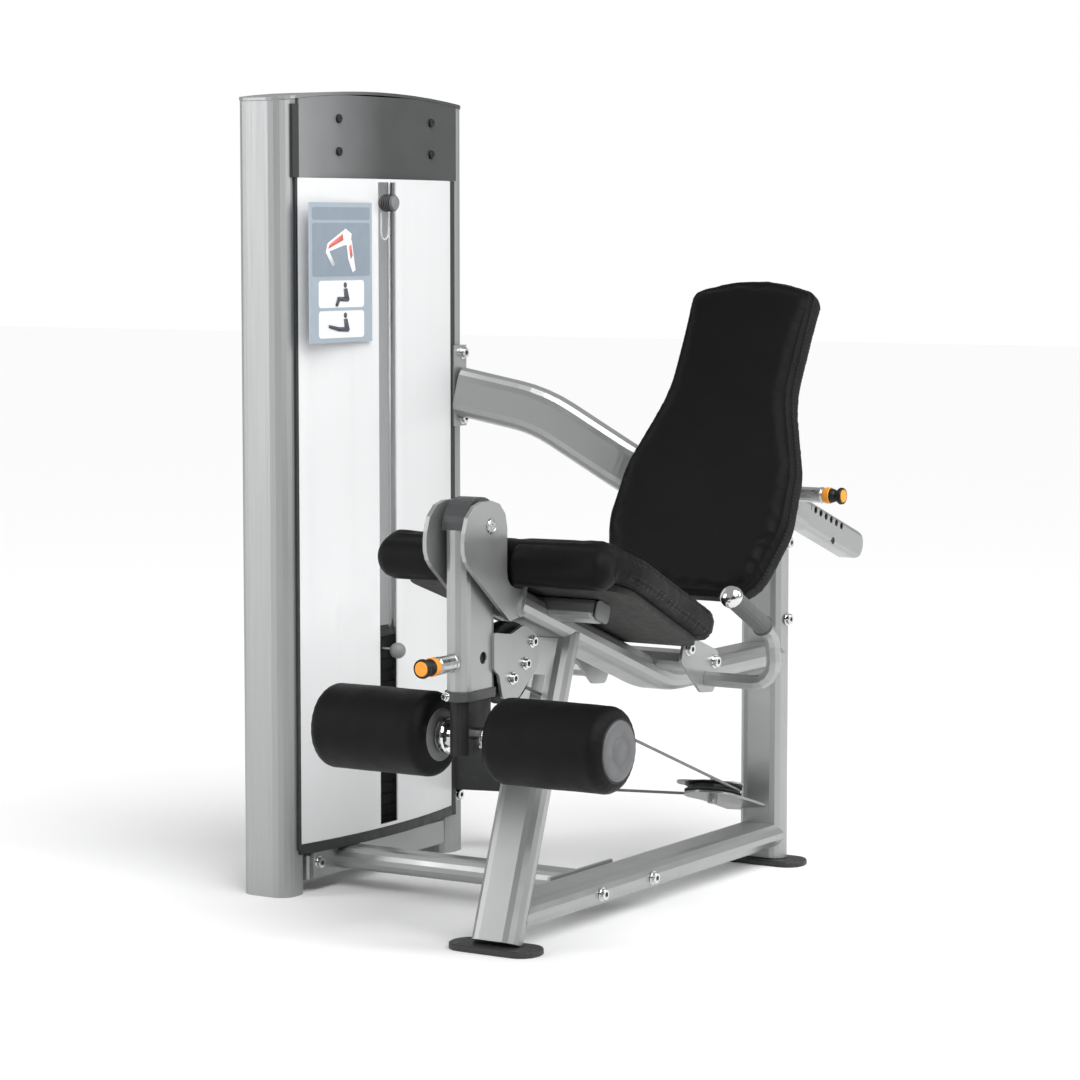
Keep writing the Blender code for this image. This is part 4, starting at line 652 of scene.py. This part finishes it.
def ring_on(surface, points, count):
    """Even points along a closed loop, each moved to the nearest place on the surface, with its normal."""
    points = [Vector(point) for point in points]
    lengths = [(points[(i + 1) % len(points)] - points[i]).length for i in range(len(points))]
    total = sum(lengths)
    found = []
    index, passed = 0, 0.0
    for k in range(count):
        want = total * k / count
        while passed + lengths[index] < want:
            passed += lengths[index]
            index += 1
        share = (want - passed) / lengths[index]
        spot = points[index].lerp(points[(index + 1) % len(points)], share)
        place, normal, _, _ = surface.find_nearest(spot)
        found.append((place, normal))
    return found


def sewn(obj, seams, body):
    """Sinks a groove along each seam and sets a welt and a row of stitches in it."""
    mesh = obj.data
    surface = surface_of(mesh)
    lines = [ring_on(surface, loop, max(12, int(length_of(loop) / 0.004))) for loop in seams]
    tree = KDTree(sum(len(line) for line in lines))
    index = 0
    for line in lines:
        for place, _ in line:
            tree.insert(place, index)
            index += 1
    tree.balance()
    points = points_of(mesh)
    normals = normals_of(mesh)
    for i, point in enumerate(points):
        _, _, away = tree.find(point)
        if away < GROOVE_WIDTH:
            share = 1.0 - (away / GROOVE_WIDTH) ** 2
            points[i] = point - normals[i] * GROOVE_DEPTH * share * share
    set_points(mesh, points)
    for number, line in enumerate(lines):
        welt = [place - normal * (GROOVE_DEPTH - 0.0006) for place, normal in line]
        tube(f"{obj.name}_welt_{number + 1}", welt, WELT_R, VINYL, body, 8, True)
        stitches(f"{obj.name}_stitches_{number + 1}", line, body, obj)


def length_of(points):
    points = [Vector(point) for point in points]
    return sum((points[(i + 1) % len(points)] - points[i]).length for i in range(len(points)))


def stitches(name, line, body, obj):
    """Short threads beside a seam, half sunk in the surface."""
    mesh = obj.data
    surface = surface_of(mesh)
    bm = bmesh.new()
    total = len(line)
    for i in range(0, total, 2):
        place, normal = line[i]
        ahead = (line[(i + 1) % total][0] - place).normalized()
        beside = ahead.cross(normal).normalized()
        spot, out, _, _ = surface.find_nearest(place + beside * STITCH_OFFSET)
        across = ahead.cross(out).normalized()
        half_long = 0.0022
        half_wide = 0.00045
        rings = []
        for place_along in (-half_long * 0.6, half_long * 0.6):
            rings.append([spot + ahead * place_along + across * half_wide * c + out * (half_wide * s)
                          for c, s in ((1, 0), (0, 1), (-1, 0), (0, -1))])
        low = bm.verts.new(spot - ahead * half_long - out * 0.0002)
        high_end = bm.verts.new(spot + ahead * half_long - out * 0.0002)
        first, second = [[bm.verts.new(point) for point in ring] for ring in rings]
        for k in range(4):
            following = (k + 1) % 4
            bm.faces.new([low, first[following], first[k]])
            bm.faces.new([first[k], first[following], second[following], second[k]])
            bm.faces.new([high_end, second[k], second[following]])
    finished(name, bm, THREAD, body, 80)


def rounded_outline(corners, steps=8):
    """The outline through (x, y, radius) corners, each rounded by an arc of its radius."""
    outline = []
    for i, (x, y, radius) in enumerate(corners):
        here = Vector((x, y))
        before = (Vector(corners[i - 1][:2]) - here).normalized()
        after = (Vector(corners[(i + 1) % len(corners)][:2]) - here).normalized()
        half = before.angle(after) / 2
        middle = here + (before + after).normalized() * radius / math.sin(half)
        first = here + before * radius / math.tan(half) - middle
        last = here + after * radius / math.tan(half) - middle
        sweep = first.angle_signed(last)
        for k in range(steps + 1):
            spoke = first.copy()
            spoke.rotate(Matrix.Rotation(-sweep * k / steps, 2))
            outline.append(tuple(middle + spoke))
    return outline


def mirrored(half):
    return half + [(-x, y, radius) for x, y, radius in reversed(half)]


SEAT_OUTLINE = [(0.242, -0.004, 0.045), (0.264, 0.100, 0.200), (0.212, SEAT_LENGTH - 0.012, 0.055)]
BACK_OUTLINE = [(0.160, 0.0, 0.070), (0.203, 0.150, 0.140), (0.194, 0.270, 0.150), (0.140, 0.430, 0.250),
                (0.138, BACK_LENGTH - 0.016, 0.022), (0.050, BACK_LENGTH + 0.010, 0.300)]


def seat_cushion():
    cushion = stuffed("seat_cushion", "seat_pad", SEAT_UP)
    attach(cushion, "frame")
    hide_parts("seat_pad")
    seams = []
    for drop in (0.010, SEAT_THICK - 0.009):
        outline = rounded_outline(mirrored(SEAT_OUTLINE))
        roll_end = 0.046
        loop = [SEAT_FRONT + X_AXIS * x + SEAT_DIR * y - SEAT_UP * drop for x, y in outline if y > roll_end]
        seams.append(open_loop(loop))
    sewn(cushion, seams, "frame")


def open_loop(loop):
    """A there-and-back loop, so that an open seam can be treated as a closed one."""
    return loop + list(reversed(loop[1:-1]))


def back_cushion():
    cushion = stuffed("back_cushion", "back_pad", -BACK_OUT)
    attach(cushion, "back_carriage")
    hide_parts("back_pad")
    outline = rounded_outline(mirrored(BACK_OUTLINE))
    seams = [[BACK_FOOT + X_AXIS * x + BACK_DIR * y + BACK_OUT * depth for x, y in outline] for depth in
             (0.012, BACK_THICK - 0.011)]
    sewn(cushion, seams, "back_carriage")


def roller_profile():
    """The foam roller's wall, from its bore at the inner end to its bore at the outer end."""
    length = ROLLER_OUT - ROLLER_IN
    fillet = 0.022
    profile = [(0.0140, -length / 2 + 0.0010), (0.0300, -length / 2 + 0.0002), (0.0500, -length / 2)]
    for x, y in arc((0, 0), fillet, -90, 0, 7):
        profile.append((ROLLER_R - fillet + x, fillet - length / 2 + y))
    steps = 26
    for i in range(1, steps):
        share = i / steps
        height = (fillet - length / 2) * (1 - share) + (length / 2 - fillet) * share
        profile.append((ROLLER_R - 0.0004 + 0.0006 * math.sin(math.pi * share), height))
    for x, y in arc((0, 0), fillet, 0, 90, 7):
        profile.append((ROLLER_R - fillet + x, length / 2 - fillet + y))
    return profile + [(0.0500, length / 2), (0.0300, length / 2 - 0.0005), (0.0140, length / 2 - 0.0010)]


def roller(word, side):
    """A vinyl-wrapped foam roller with its grey end cap and inner ring."""
    body = "roller_" + word
    middle = ROLLER_AXIS + X_AXIS * side * (ROLLER_IN + ROLLER_OUT) / 2
    axis = X_AXIS * side
    length = ROLLER_OUT - ROLLER_IN
    seed = Vector((17.0 * side, 3.0, 5.0))

    def ripple(angle, radius, height):
        if radius < 0.051:
            return 0.0
        near_end = max(0.0, abs(height) / (length / 2) - 0.80) / 0.20
        pleat = 0.0005 * near_end * math.cos(26 * angle + 3 * noise.noise(Vector((angle * 2, side, 0.0))))
        spot = Vector((math.cos(angle) * 1.6, math.sin(angle) * 1.6, height * 22.0)) + seed
        return pleat + 0.0007 * noise.noise(spot)

    foam = lathe("roller_cushion_" + word, roller_profile(), middle, axis, VINYL, body, 96,
                 ripple, 70)
    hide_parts("roller_pad_" + word)
    face = length / 2 + 0.0002
    lathe("roller_cap_" + word, [
        (0.0, face + 0.0058), (0.0235, face + 0.0056), (0.0245, face + 0.0046), (0.0262, face + 0.0046),
        (0.0272, face + 0.0056), (0.0450, face + 0.0050), (0.0505, face + 0.0042), (0.0530, face + 0.0022),
        (0.0535, face), (0.0, face)], middle, axis, GREY_PLASTIC, body, 64, None, 60)
    lathe("roller_cap_ring_" + word, [
        (0.0536, face + 0.0003), (0.0540, face + 0.0016), (0.0560, face + 0.0014), (0.0568, face - 0.0004)],
        middle, axis, BLACK_PLASTIC, body, 64, None, 60)
    inner = -length / 2 - 0.0002
    lathe("roller_inner_ring_" + word, [
        (0.0150, inner), (0.0150, inner - 0.0022), (0.0400, inner - 0.0022), (0.0455, inner - 0.0014),
        (0.0470, inner)], middle, axis, GREY_PLASTIC, body, 56, None, 60)


# ---------------------------------------------------------------- fittings

def bolt(name, at, axis, body, size=0.0095, high=0.008):
    """A cap screw with a washer, over the plain head beneath it, with a thin black hex sheet in its recess
    as painted shade of the socket.
    """
    rim = size + 0.0011
    top = high + 0.0018
    lathe(name, [
        (0.0, high + 0.0003), (0.0048, high + 0.0003), (0.0050, top), (rim - 0.0014, top),
                 (rim, top - 0.0012),
        (rim, 0.0021), (rim + 0.0021, 0.0019), (rim + 0.0024, 0.0012), (rim + 0.0024, 0.0001),
                 (0.0, 0.0001)],
        at, axis, CHROME, body, 28)
    # Painted shade: the thin black hex sheet on the recess floor stands in for the shade inside the screw's
    # socket.
    outline = [(0.0044 * math.cos(math.pi * k / 3), 0.0044 * math.sin(math.pi * k / 3)) for k in range(6)]
    socket_shade_at = Vector(at) + Vector(axis) * (high + 0.0006)
    prism(name + "_socket", outline, 0.0006, socket_shade_at, frame_of(axis), BLACK_STEEL, body)


def frame_bolts():
    spots = [(0.050, 0.285, 0.060), (0.050, 0.473, 0.060), (0.050, 1.010, 0.500), (0.050, 1.010, 0.655),
             (-0.5907, 0.283, 0.056), (-0.5857, 0.790, 0.898), (-0.5857, 0.790, 1.031),
             (-0.5950, 0.783, 0.119)]
    for number, spot in enumerate(spots):
        bolt(f"frame_bolt_{number + 1}", DRAWN + Vector(spot), X_AXIS, "frame")
    for side, word in ((-1, "left"), (1, "right")):
        for number, (y, z) in enumerate(((0.478, 0.500), (0.578, 0.466))):
            at = DRAWN + Vector((side * 0.122, y, z))
            bolt(f"handle_bolt_{word}_{number + 1}", at, X_AXIS * side, "frame")
        for number, (y, z) in enumerate(((0.075, 0.550), (0.052, 0.513), (0.009, 0.491))):
            at = DRAWN + Vector((side * 0.0293, y, z))
            bolt(f"cam_bolt_{word}_{number + 1}", at, X_AXIS * side, "lever", 0.008, 0.006)


def header_screws():
    for side, word in ((-1, "left"), (1, "right")):
        for number, (y, z) in enumerate(((0.361, 1.431), (0.681, 1.431), (0.361, 1.494), (0.681, 1.494))):
            at = Vector((TOWER_X + side * HEADER_FACE, DRAWN.y + y, z))
            lathe(f"header_screw_{word}_{number + 1}", [
                (0.0, 0.0043), (0.0026, 0.0043), (0.0030, 0.0051), (0.0070, 0.0049), (0.0082, 0.0040),
                (0.0088, 0.0001), (0.0, 0.0001)], at, X_AXIS * side, BLACK_STEEL, "frame",
                  24)


def pull_knob(name, at, axis, body, face, engage):
    """A spring pin: rod, orange waist, black grip rings and an orange end cap."""
    knob = lathe(name + "_knob", [
        (0.0, face + 0.0405), (0.0132, face + 0.0405), (0.0150, face + 0.0425), (0.0165, face + 0.0410),
        (0.0172, face + 0.0375), (0.0168, face + 0.0345), (0.0120, face + 0.0290), (0.0108, face + 0.0260),
        (0.0108, face + 0.0255), (0.0, face + 0.0255)], at, axis, BLACK_PLASTIC, body, 40)
    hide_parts(name)
    lathe(name + "_cap", [
        (0.0, face + 0.0440), (0.0080, face + 0.0438), (0.0118, face + 0.0432), (0.0130, face + 0.0420),
        (0.0131, face + 0.0400), (0.0, face + 0.0400)], at, axis, ORANGE, body, 40)
    lathe(name + "_waist", [
        (0.0, face + 0.0258), (0.0112, face + 0.0258), (0.0126, face + 0.0235), (0.0140, face + 0.0190),
        (0.0150, face + 0.0145), (0.0, face + 0.0145)], at, axis, BLACK_PLASTIC, body, 40)
    lathe(name + "_collar", [
        (0.0, face + 0.0146), (0.0156, face + 0.0146), (0.0166, face + 0.0130), (0.0160, face + 0.0100),
        (0.0166, face + 0.0070), (0.0160, face + 0.0040), (0.0152, face + 0.0004), (0.0, face + 0.0004)],
        at, axis, ORANGE, body, 40)
    lathe(name + "_rod", [
        (0.0, face + 0.0010), (0.0050, face + 0.0010), (0.0050, -engage), (0.0044, -engage - 0.0006),
        (0.0, -engage - 0.0006)], at, axis, CHROME, body, 24)


def barrel_rings(name, at, axis, start, length, body):
    """The turned end rings of a spring pin's barrel."""
    for number, height in enumerate((start + 0.0015, start + length - 0.0085)):
        lathe(f"{name}_{number + 1}", [
            (PIN_HOUSING_R, height), (0.0163, height + 0.0008), (0.0163, height + 0.0052),
            (PIN_HOUSING_R, height + 0.0060)],
            at, axis, SATIN_STEEL, body, 40)


def lever_fittings():
    pin_at = DRAWN + Vector((0.0, LEVER_Y, 0.532))
    mount = LEVER_DEEP / 2 + FIT
    pull_knob("lever_pin", pin_at, -Y_AXIS, "lever_pin", mount + LEVER_BARREL + 0.0008, -0.041)
    barrel_rings("lever_barrel_ring", pin_at, -Y_AXIS, mount, LEVER_BARREL, "lever")
    for side, word in ((-1, "left"), (1, "right")):
        lathe("pivot_button_" + word, [
            (0.0, 0.0012), (0.0026, 0.0012), (0.0030, 0.0004), (0.0038, 0.0004), (0.0042, 0.0014),
                                       (0.0088, 0.0014),
            (0.0098, 0.0006), (0.0106, 0.0006), (0.0112, 0.0014), (0.0122, 0.0010), (0.0124, 0.0001),
                                       (0.0, 0.0001)],
            PIVOT + X_AXIS * side * 0.0450, X_AXIS * side, SATIN_STEEL, "frame", 48)
    collar_skin()


def collar_skin():
    """The dark collar at the foot of the lever tube, with its clamp screw."""
    wide, deep = LEVER_THICK + 0.0076, LEVER_DEEP + 0.0076
    outer = rounded_box(wide, deep, wide / 2 - 0.0004, 8)
    inner = rounded_box(wide - 0.0022, deep - 0.0022, wide / 2 - 0.0018, 8)
    low, high = 0.4638, 0.4812
    bm = bmesh.new()
    rows = []
    for outline, z in ((inner, low), (outer, low + 0.0012), (outer, high - 0.0012), (inner, high)):
        rows.append([bm.verts.new(DRAWN + Vector((x, LEVER_Y + y, z))) for x, y in outline])
    count = len(outer)
    for low_row, high_row in list(zip(rows, rows[1:])) + [(rows[-1], rows[0])]:
        for k in range(count):
            bm.faces.new([low_row[k], low_row[(k + 1) % count], high_row[(k + 1) % count], high_row[k]])
    finished("lever_collar_skin", bm, CAP_GREY, "lever")
    at = DRAWN + Vector((-0.012, LEVER_Y - LEVER_DEEP / 2 - 0.0005, 0.4725))
    bolt("collar_screw", at, Vector((-0.35, -1.0, 0.0)).normalized(), "lever", 0.0048, 0.0062)


def grip_ends():
    """The bright rounded ends of the hand grips."""
    for side, word in ((-1, "left"), (1, "right")):
        start = DRAWN + Vector((side * 0.262, 0.512, 0.548))
        end = DRAWN + Vector((side * 0.262, 0.392, 0.612))
        axis = (end - start).normalized()
        lathe("grip_end_" + word, [
            (0.0, 0.0212), (0.0070, 0.0208), (0.0125, 0.0192), (0.0172, 0.0160), (0.0202, 0.0112),
            (0.0216, 0.0055), (0.0210, 0.0010), (0.0195, -0.0012), (0.0186, -0.0014), (0.0184, 0.0)], end,
              axis, CHROME, "frame",
            56, None, 60)
        lathe("grip_flange_" + word, [
            (0.0184, 0.0), (0.0200, 0.0004), (0.0206, 0.0022), (0.0200, 0.0042), (0.0184, 0.0048)],
            start, axis, RUBBER, "frame", 48, None, 60)


def tube_plugs():
    """End plugs of the tube across the seat."""
    turn = Matrix.Rotation(-SEAT_SLOPE, 3, "X") @ Matrix.Rotation(math.pi / 2, 3, "Y")
    middle = SEAT_FRONT + SEAT_DIR * 0.161 - SEAT_UP * (SEAT_THICK + FIT + 0.006 + 0.0063 + 0.018)
    for side, word in ((-1, "left"), (1, "right")):
        at = middle + X_AXIS * side * 0.1466
        prism("plug_rim_" + word, rounded_box(0.0362, 0.0502, 0.0105), 0.0012, at, turn, BLACK_PLASTIC,
              "frame",
              0.0004, 1)
        at = middle + X_AXIS * side * 0.1485
        prism("plug_" + word, rounded_box(0.0350, 0.0490, 0.0100), 0.0026, at, turn, MID_GREY_PLASTIC,
              "frame",
              0.0010)


def tower_fittings():
    knob_at = Vector((TOWER_X + 0.0605, DRAWN.y + 0.478, 1.333))
    lathe("addon_knob_face", [
        (0.0, 0.0532), (0.0095, 0.0532), (0.0105, 0.0526), (0.0112, 0.0526), (0.0122, 0.0532),
                              (0.0134, 0.0526),
        (0.0138, 0.0521), (0.0, 0.0521)], knob_at, X_AXIS, MID_GREY_PLASTIC, "addon_knob",
          44)
    for number in range(5):
        height = 0.0290 + 0.0042 * number
        lathe(f"addon_knob_rib_{number + 1}", [
            (0.0164, height), (0.0170, height + 0.0007), (0.0170, height + 0.0019),
                                               (0.0164, height + 0.0026)],
            knob_at, X_AXIS, BLACK_PLASTIC, "addon_knob", 44)
    half_loop = 0.0125
    strap = [(-half_loop, 0.0)] + arc((0.0, -0.040), half_loop, 180, 360, 12) + [(half_loop, 0.0)]
    points = [knob_at + Vector((0.004, 0.0, -0.018)) + Vector((0.0225, y, z)) for y, z in strap]
    tube("knob_strap", points, 0.0022, CLEAR, "frame", 10)
    pin_at = Vector((TOWER_X, STACK_Y, 0.452))
    ball = [(0.016 * math.cos(a), 0.106 + 0.016 * math.sin(a)) for a in
            [math.radians(90 - 150 * k / 12) for k in range(13)]]
    knob = lathe("selector_knob", [(0.0, 0.122)] + ball[1:] + [(0.0064, 0.0905), (0.0, 0.0905)], pin_at,
                 X_AXIS,
                 MID_GREY_PLASTIC, "selector", 44, None, 50)
    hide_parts("selector_pin")
    lathe("selector_rod_shown", [
        (0.0, 0.0908), (0.0050, 0.0908), (0.0050, -0.0080), (0.0040, -0.0090), (0.0, -0.0090)],
        pin_at, X_AXIS, CHROME, "selector", 24)


def placard_art():
    """Generic picture card: a bent leg in two colours above two boxes with a seated figure."""
    face_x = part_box("placard")[1].x
    turn = Matrix(((0, 0, 1), (1, 0, 0), (0, 1, 0)))

    def sheet(name, outline, mat, y, z, lift):
        at = Vector((face_x + 0.0002 + lift, DRAWN.y + y, z))
        prism(name, outline, 0.0003, at, turn, mat, "frame")

    middle_y = 0.325
    sheet("placard_band", rounded_box(0.190, 0.024, 0.005), CARD_DARK, middle_y, 1.312, 0.0)
    sheet("placard_panel", rounded_box(0.190, 0.102, 0.006), CARD_DARK, middle_y, 1.243, 0.0)
    thigh = [(-0.052, -0.006), (-0.046, 0.012), (0.014, 0.040), (0.034, 0.030), (0.030, 0.010),
             (0.008, 0.008)]
    front = [(-0.044, 0.002), (-0.040, 0.010), (0.004, 0.030), (0.006, 0.018)]
    shin = [(0.016, 0.012), (0.034, 0.018), (0.040, -0.012), (0.046, -0.040), (0.036, -0.044),
            (0.022, -0.018)]
    calf = [(0.024, 0.006), (0.032, 0.010), (0.036, -0.012), (0.030, -0.018)]
    foot = [(-0.052, -0.006), (-0.046, 0.004), (-0.022, -0.028), (-0.030, -0.034)]
    leg = ((thigh, CARD_WHITE, 0.0004), (front, CARD_SALMON, 0.0008), (shin, CARD_WHITE, 0.0006),
           (calf, CARD_SALMON, 0.0010), (foot, CARD_WHITE, 0.0006))
    for number, (outline, mat, lift) in enumerate(leg):
        sheet(f"placard_leg_{number + 1}", outline, mat, middle_y, 1.243, lift)
    for number, z in enumerate((1.158, 1.100)):
        sheet(f"placard_box_{number + 1}", rounded_box(0.150, 0.052, 0.007), CARD_WHITE, middle_y, z, 0.0)
        head = arc((0.012, 0.017), 0.0055, 0, 330, 11)
        trunk = [(0.006, 0.010), (0.018, 0.011), (0.026, -0.012), (0.010, -0.014)]
        lap = [(0.022, -0.006), (0.022, -0.015), (-0.014, -0.013), (-0.014, -0.005)]
        if number:
            lower = [(-0.012, -0.005), (-0.012, -0.013), (-0.044, -0.006), (-0.044, 0.000)]
        else:
            lower = [(-0.014, -0.005), (-0.005, -0.010), (-0.014, -0.024), (-0.022, -0.022)]
        for part, outline in enumerate((head, trunk, lap, lower)):
            sheet(f"placard_figure_{number + 1}_{part + 1}", outline, CARD_INK, middle_y, z,
                  0.0004 + 0.0003 * part)


def back_fittings():
    pin_y = 1.062
    along = Vector((0.0, math.cos(RAIL_SLOPE), -math.sin(RAIL_SLOPE)))
    up = Vector((0.0, math.sin(RAIL_SLOPE), math.cos(RAIL_SLOPE)))
    pin_at = DRAWN + RAIL_POINT + along * ((pin_y - RAIL_POINT.y) / along.y) + up * 0.017
    mount = (2 * RAIL_HALF + 0.011) / 2 + FIT
    pull_knob("back_pin", pin_at, X_AXIS, "back_pin", mount + BACK_BARREL + 0.0008, -0.016)
    barrel_rings("back_barrel_ring", pin_at, X_AXIS, mount, BACK_BARREL, "frame")
    face = pin_at + X_AXIS * RAIL_HALF
    # Painted shade: black cups set in the rail's holes stand in for the shade inside the hollow rail.
    for step in range(1, 11):
        lathe(f"rail_hole_liner_{step}", [
            (0.0, -0.0080), (0.0056, -0.0080), (0.0058, -0.0006), (0.0061, 0.0001), (0.0069, 0.00015),
            (0.0072, 0.00005), (0.0066, -0.0004), (0.0066, -0.0086), (0.0, -0.0086)],
              face + along * RAIL_HOLE_STEP * step,
            X_AXIS, BLACK_STEEL, "back_carriage", 24)
    end_y = 1.272
    end = DRAWN + RAIL_POINT + along * ((end_y - RAIL_POINT.y) / along.y) - up * 0.022 + X_AXIS * RAIL_HALF
    lathe("rail_end_screw", [
        (0.0, 0.00005), (0.0022, 0.00005), (0.0026, 0.00015), (0.0070, 0.00015), (0.0074, 0.00005),
                             (0.0, 0.00002)], end, X_AXIS,
        BLACK_STEEL, "back_carriage", 24)


def cables():
    """The cables whose length changes: the one on the lever's cam and the one above the stack head."""
    slope = math.radians(20.5)
    along = Vector((0.0, math.cos(slope), -math.sin(slope)))
    leg_end = DRAWN + Vector((0.0, 0.1655, 0.4379))
    cam_end = leg_end - along * 0.0715
    points = [leg_end.lerp(cam_end, k / 24) for k in range(25)]
    lever_cable = tube("lever_cable_shown", points, 0.003, CABLE, None, 12)
    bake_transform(lever_cable)
    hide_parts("lever_cable")
    low = Vector((TOWER_X, STACK_Y, 0.5353))
    high = Vector((TOWER_X, STACK_Y, 1.4297))
    points = [low.lerp(high, k / 24) for k in range(25)]
    lift_cable = tube("lift_cable_shown", points, 0.003, CABLE, "frame", 12)
    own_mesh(lift_cable)
    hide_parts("lift_cable")


# ---------------------------------------------------------------- studio

WORLD_LIGHT = 0.40
SUN_POWER = 2.75


def card(name, size, at, towards, mat):
    """A flat studio card facing a point."""
    bm = bmesh.new()
    bmesh.ops.create_grid(bm, x_segments=1, y_segments=1, size=0.5)
    mesh = bpy.data.meshes.new(name)
    bm.to_mesh(mesh)
    bm.free()
    obj = bpy.data.objects.new(name, mesh)
    bpy.context.scene.collection.objects.link(obj)
    obj.scale = (*size, 1.0)
    obj.location = at
    obj.rotation_euler = (Vector(towards) - Vector(at)).to_track_quat("Z", "Y").to_euler()
    mesh.materials.append(mat)
    return obj


def softbox(name, size, at, power):
    data = bpy.data.lights.new(name, "AREA")
    data.shape = "RECTANGLE"
    data.size, data.size_y = size
    data.energy = power
    obj = bpy.data.objects.new(name, data)
    bpy.context.scene.collection.objects.link(obj)
    obj.location = at
    aim = Vector((0.0, 0.0, 0.75))
    obj.rotation_euler = (aim - Vector(at)).to_track_quat("-Z", "Y").to_euler()


def studio():
    """White surroundings, a broad lamp above, two soft boxes and a dark card that the metal reflects."""
    scene = bpy.context.scene
    scene.view_settings.view_transform = "Standard"
    world = bpy.data.worlds.new("studio")
    scene.world = world
    world.use_nodes = True
    tree = world.node_tree
    background = tree.nodes["Background"]
    background.inputs["Color"].default_value = (1.0, 1.0, 1.0, 1.0)
    background.inputs["Strength"].default_value = WORLD_LIGHT
    seen = tree.nodes.new("ShaderNodeBackground")
    seen.inputs["Color"].default_value = (1.0, 1.0, 1.0, 1.0)
    rays = tree.nodes.new("ShaderNodeLightPath")
    mix = tree.nodes.new("ShaderNodeMixShader")
    tree.links.new(rays.outputs["Is Camera Ray"], mix.inputs[0])
    tree.links.new(background.outputs[0], mix.inputs[1])
    tree.links.new(seen.outputs[0], mix.inputs[2])
    tree.links.new(mix.outputs[0], tree.nodes["World Output"].inputs["Surface"])
    card("floor", (60.0, 60.0), (0.0, 0.0, 0.0), (0.0, 0.0, 1.0), studio_floor())
    dark = Look("look_dark_card", (0.02, 0.02, 0.02), 0.9)
    dark.tint(dark.noise(3.0), (0.035, 0.035, 0.035))
    shade = card("dark_card", (8.0, 4.4), (4.6, -7.4, 2.4), (0.0, 0.0, 1.2), dark.mat)
    shade.visible_camera = False
    shade.visible_shadow = False
    sun = bpy.data.lights.new("overhead", "SUN")
    sun.energy = SUN_POWER
    sun.angle = math.radians(50.0)
    lamp = bpy.data.objects.new("overhead", sun)
    scene.collection.objects.link(lamp)
    lamp.rotation_euler = (math.radians(20.0), math.radians(36.0), 0.0)
    softbox("right_light", (1.6, 2.6), (3.8, 1.6, 2.6), 60.0)
    softbox("left_light", (1.4, 3.2), (-3.4, -3.6, 2.2), 70.0)


def camera():
    data = bpy.data.cameras.new("camera")
    data.lens = 112.2
    data.sensor_width = 36.0
    obj = bpy.data.objects.new("camera", data)
    bpy.context.scene.collection.objects.link(obj)
    obj.location = (3.4035, -5.5579, 1.2734)
    obj.rotation_euler = (math.radians(90.0 - 5.2), 0.0, math.radians(31.9))
    bpy.context.scene.camera = obj


# ---------------------------------------------------------------- build

dress_frame()
seat_cushion()
back_cushion()
roller("left", -1)
roller("right", 1)
frame_bolts()
header_screws()
lever_fittings()
grip_ends()
tube_plugs()
tower_fittings()
placard_art()
back_fittings()
cables()
studio()
camera()
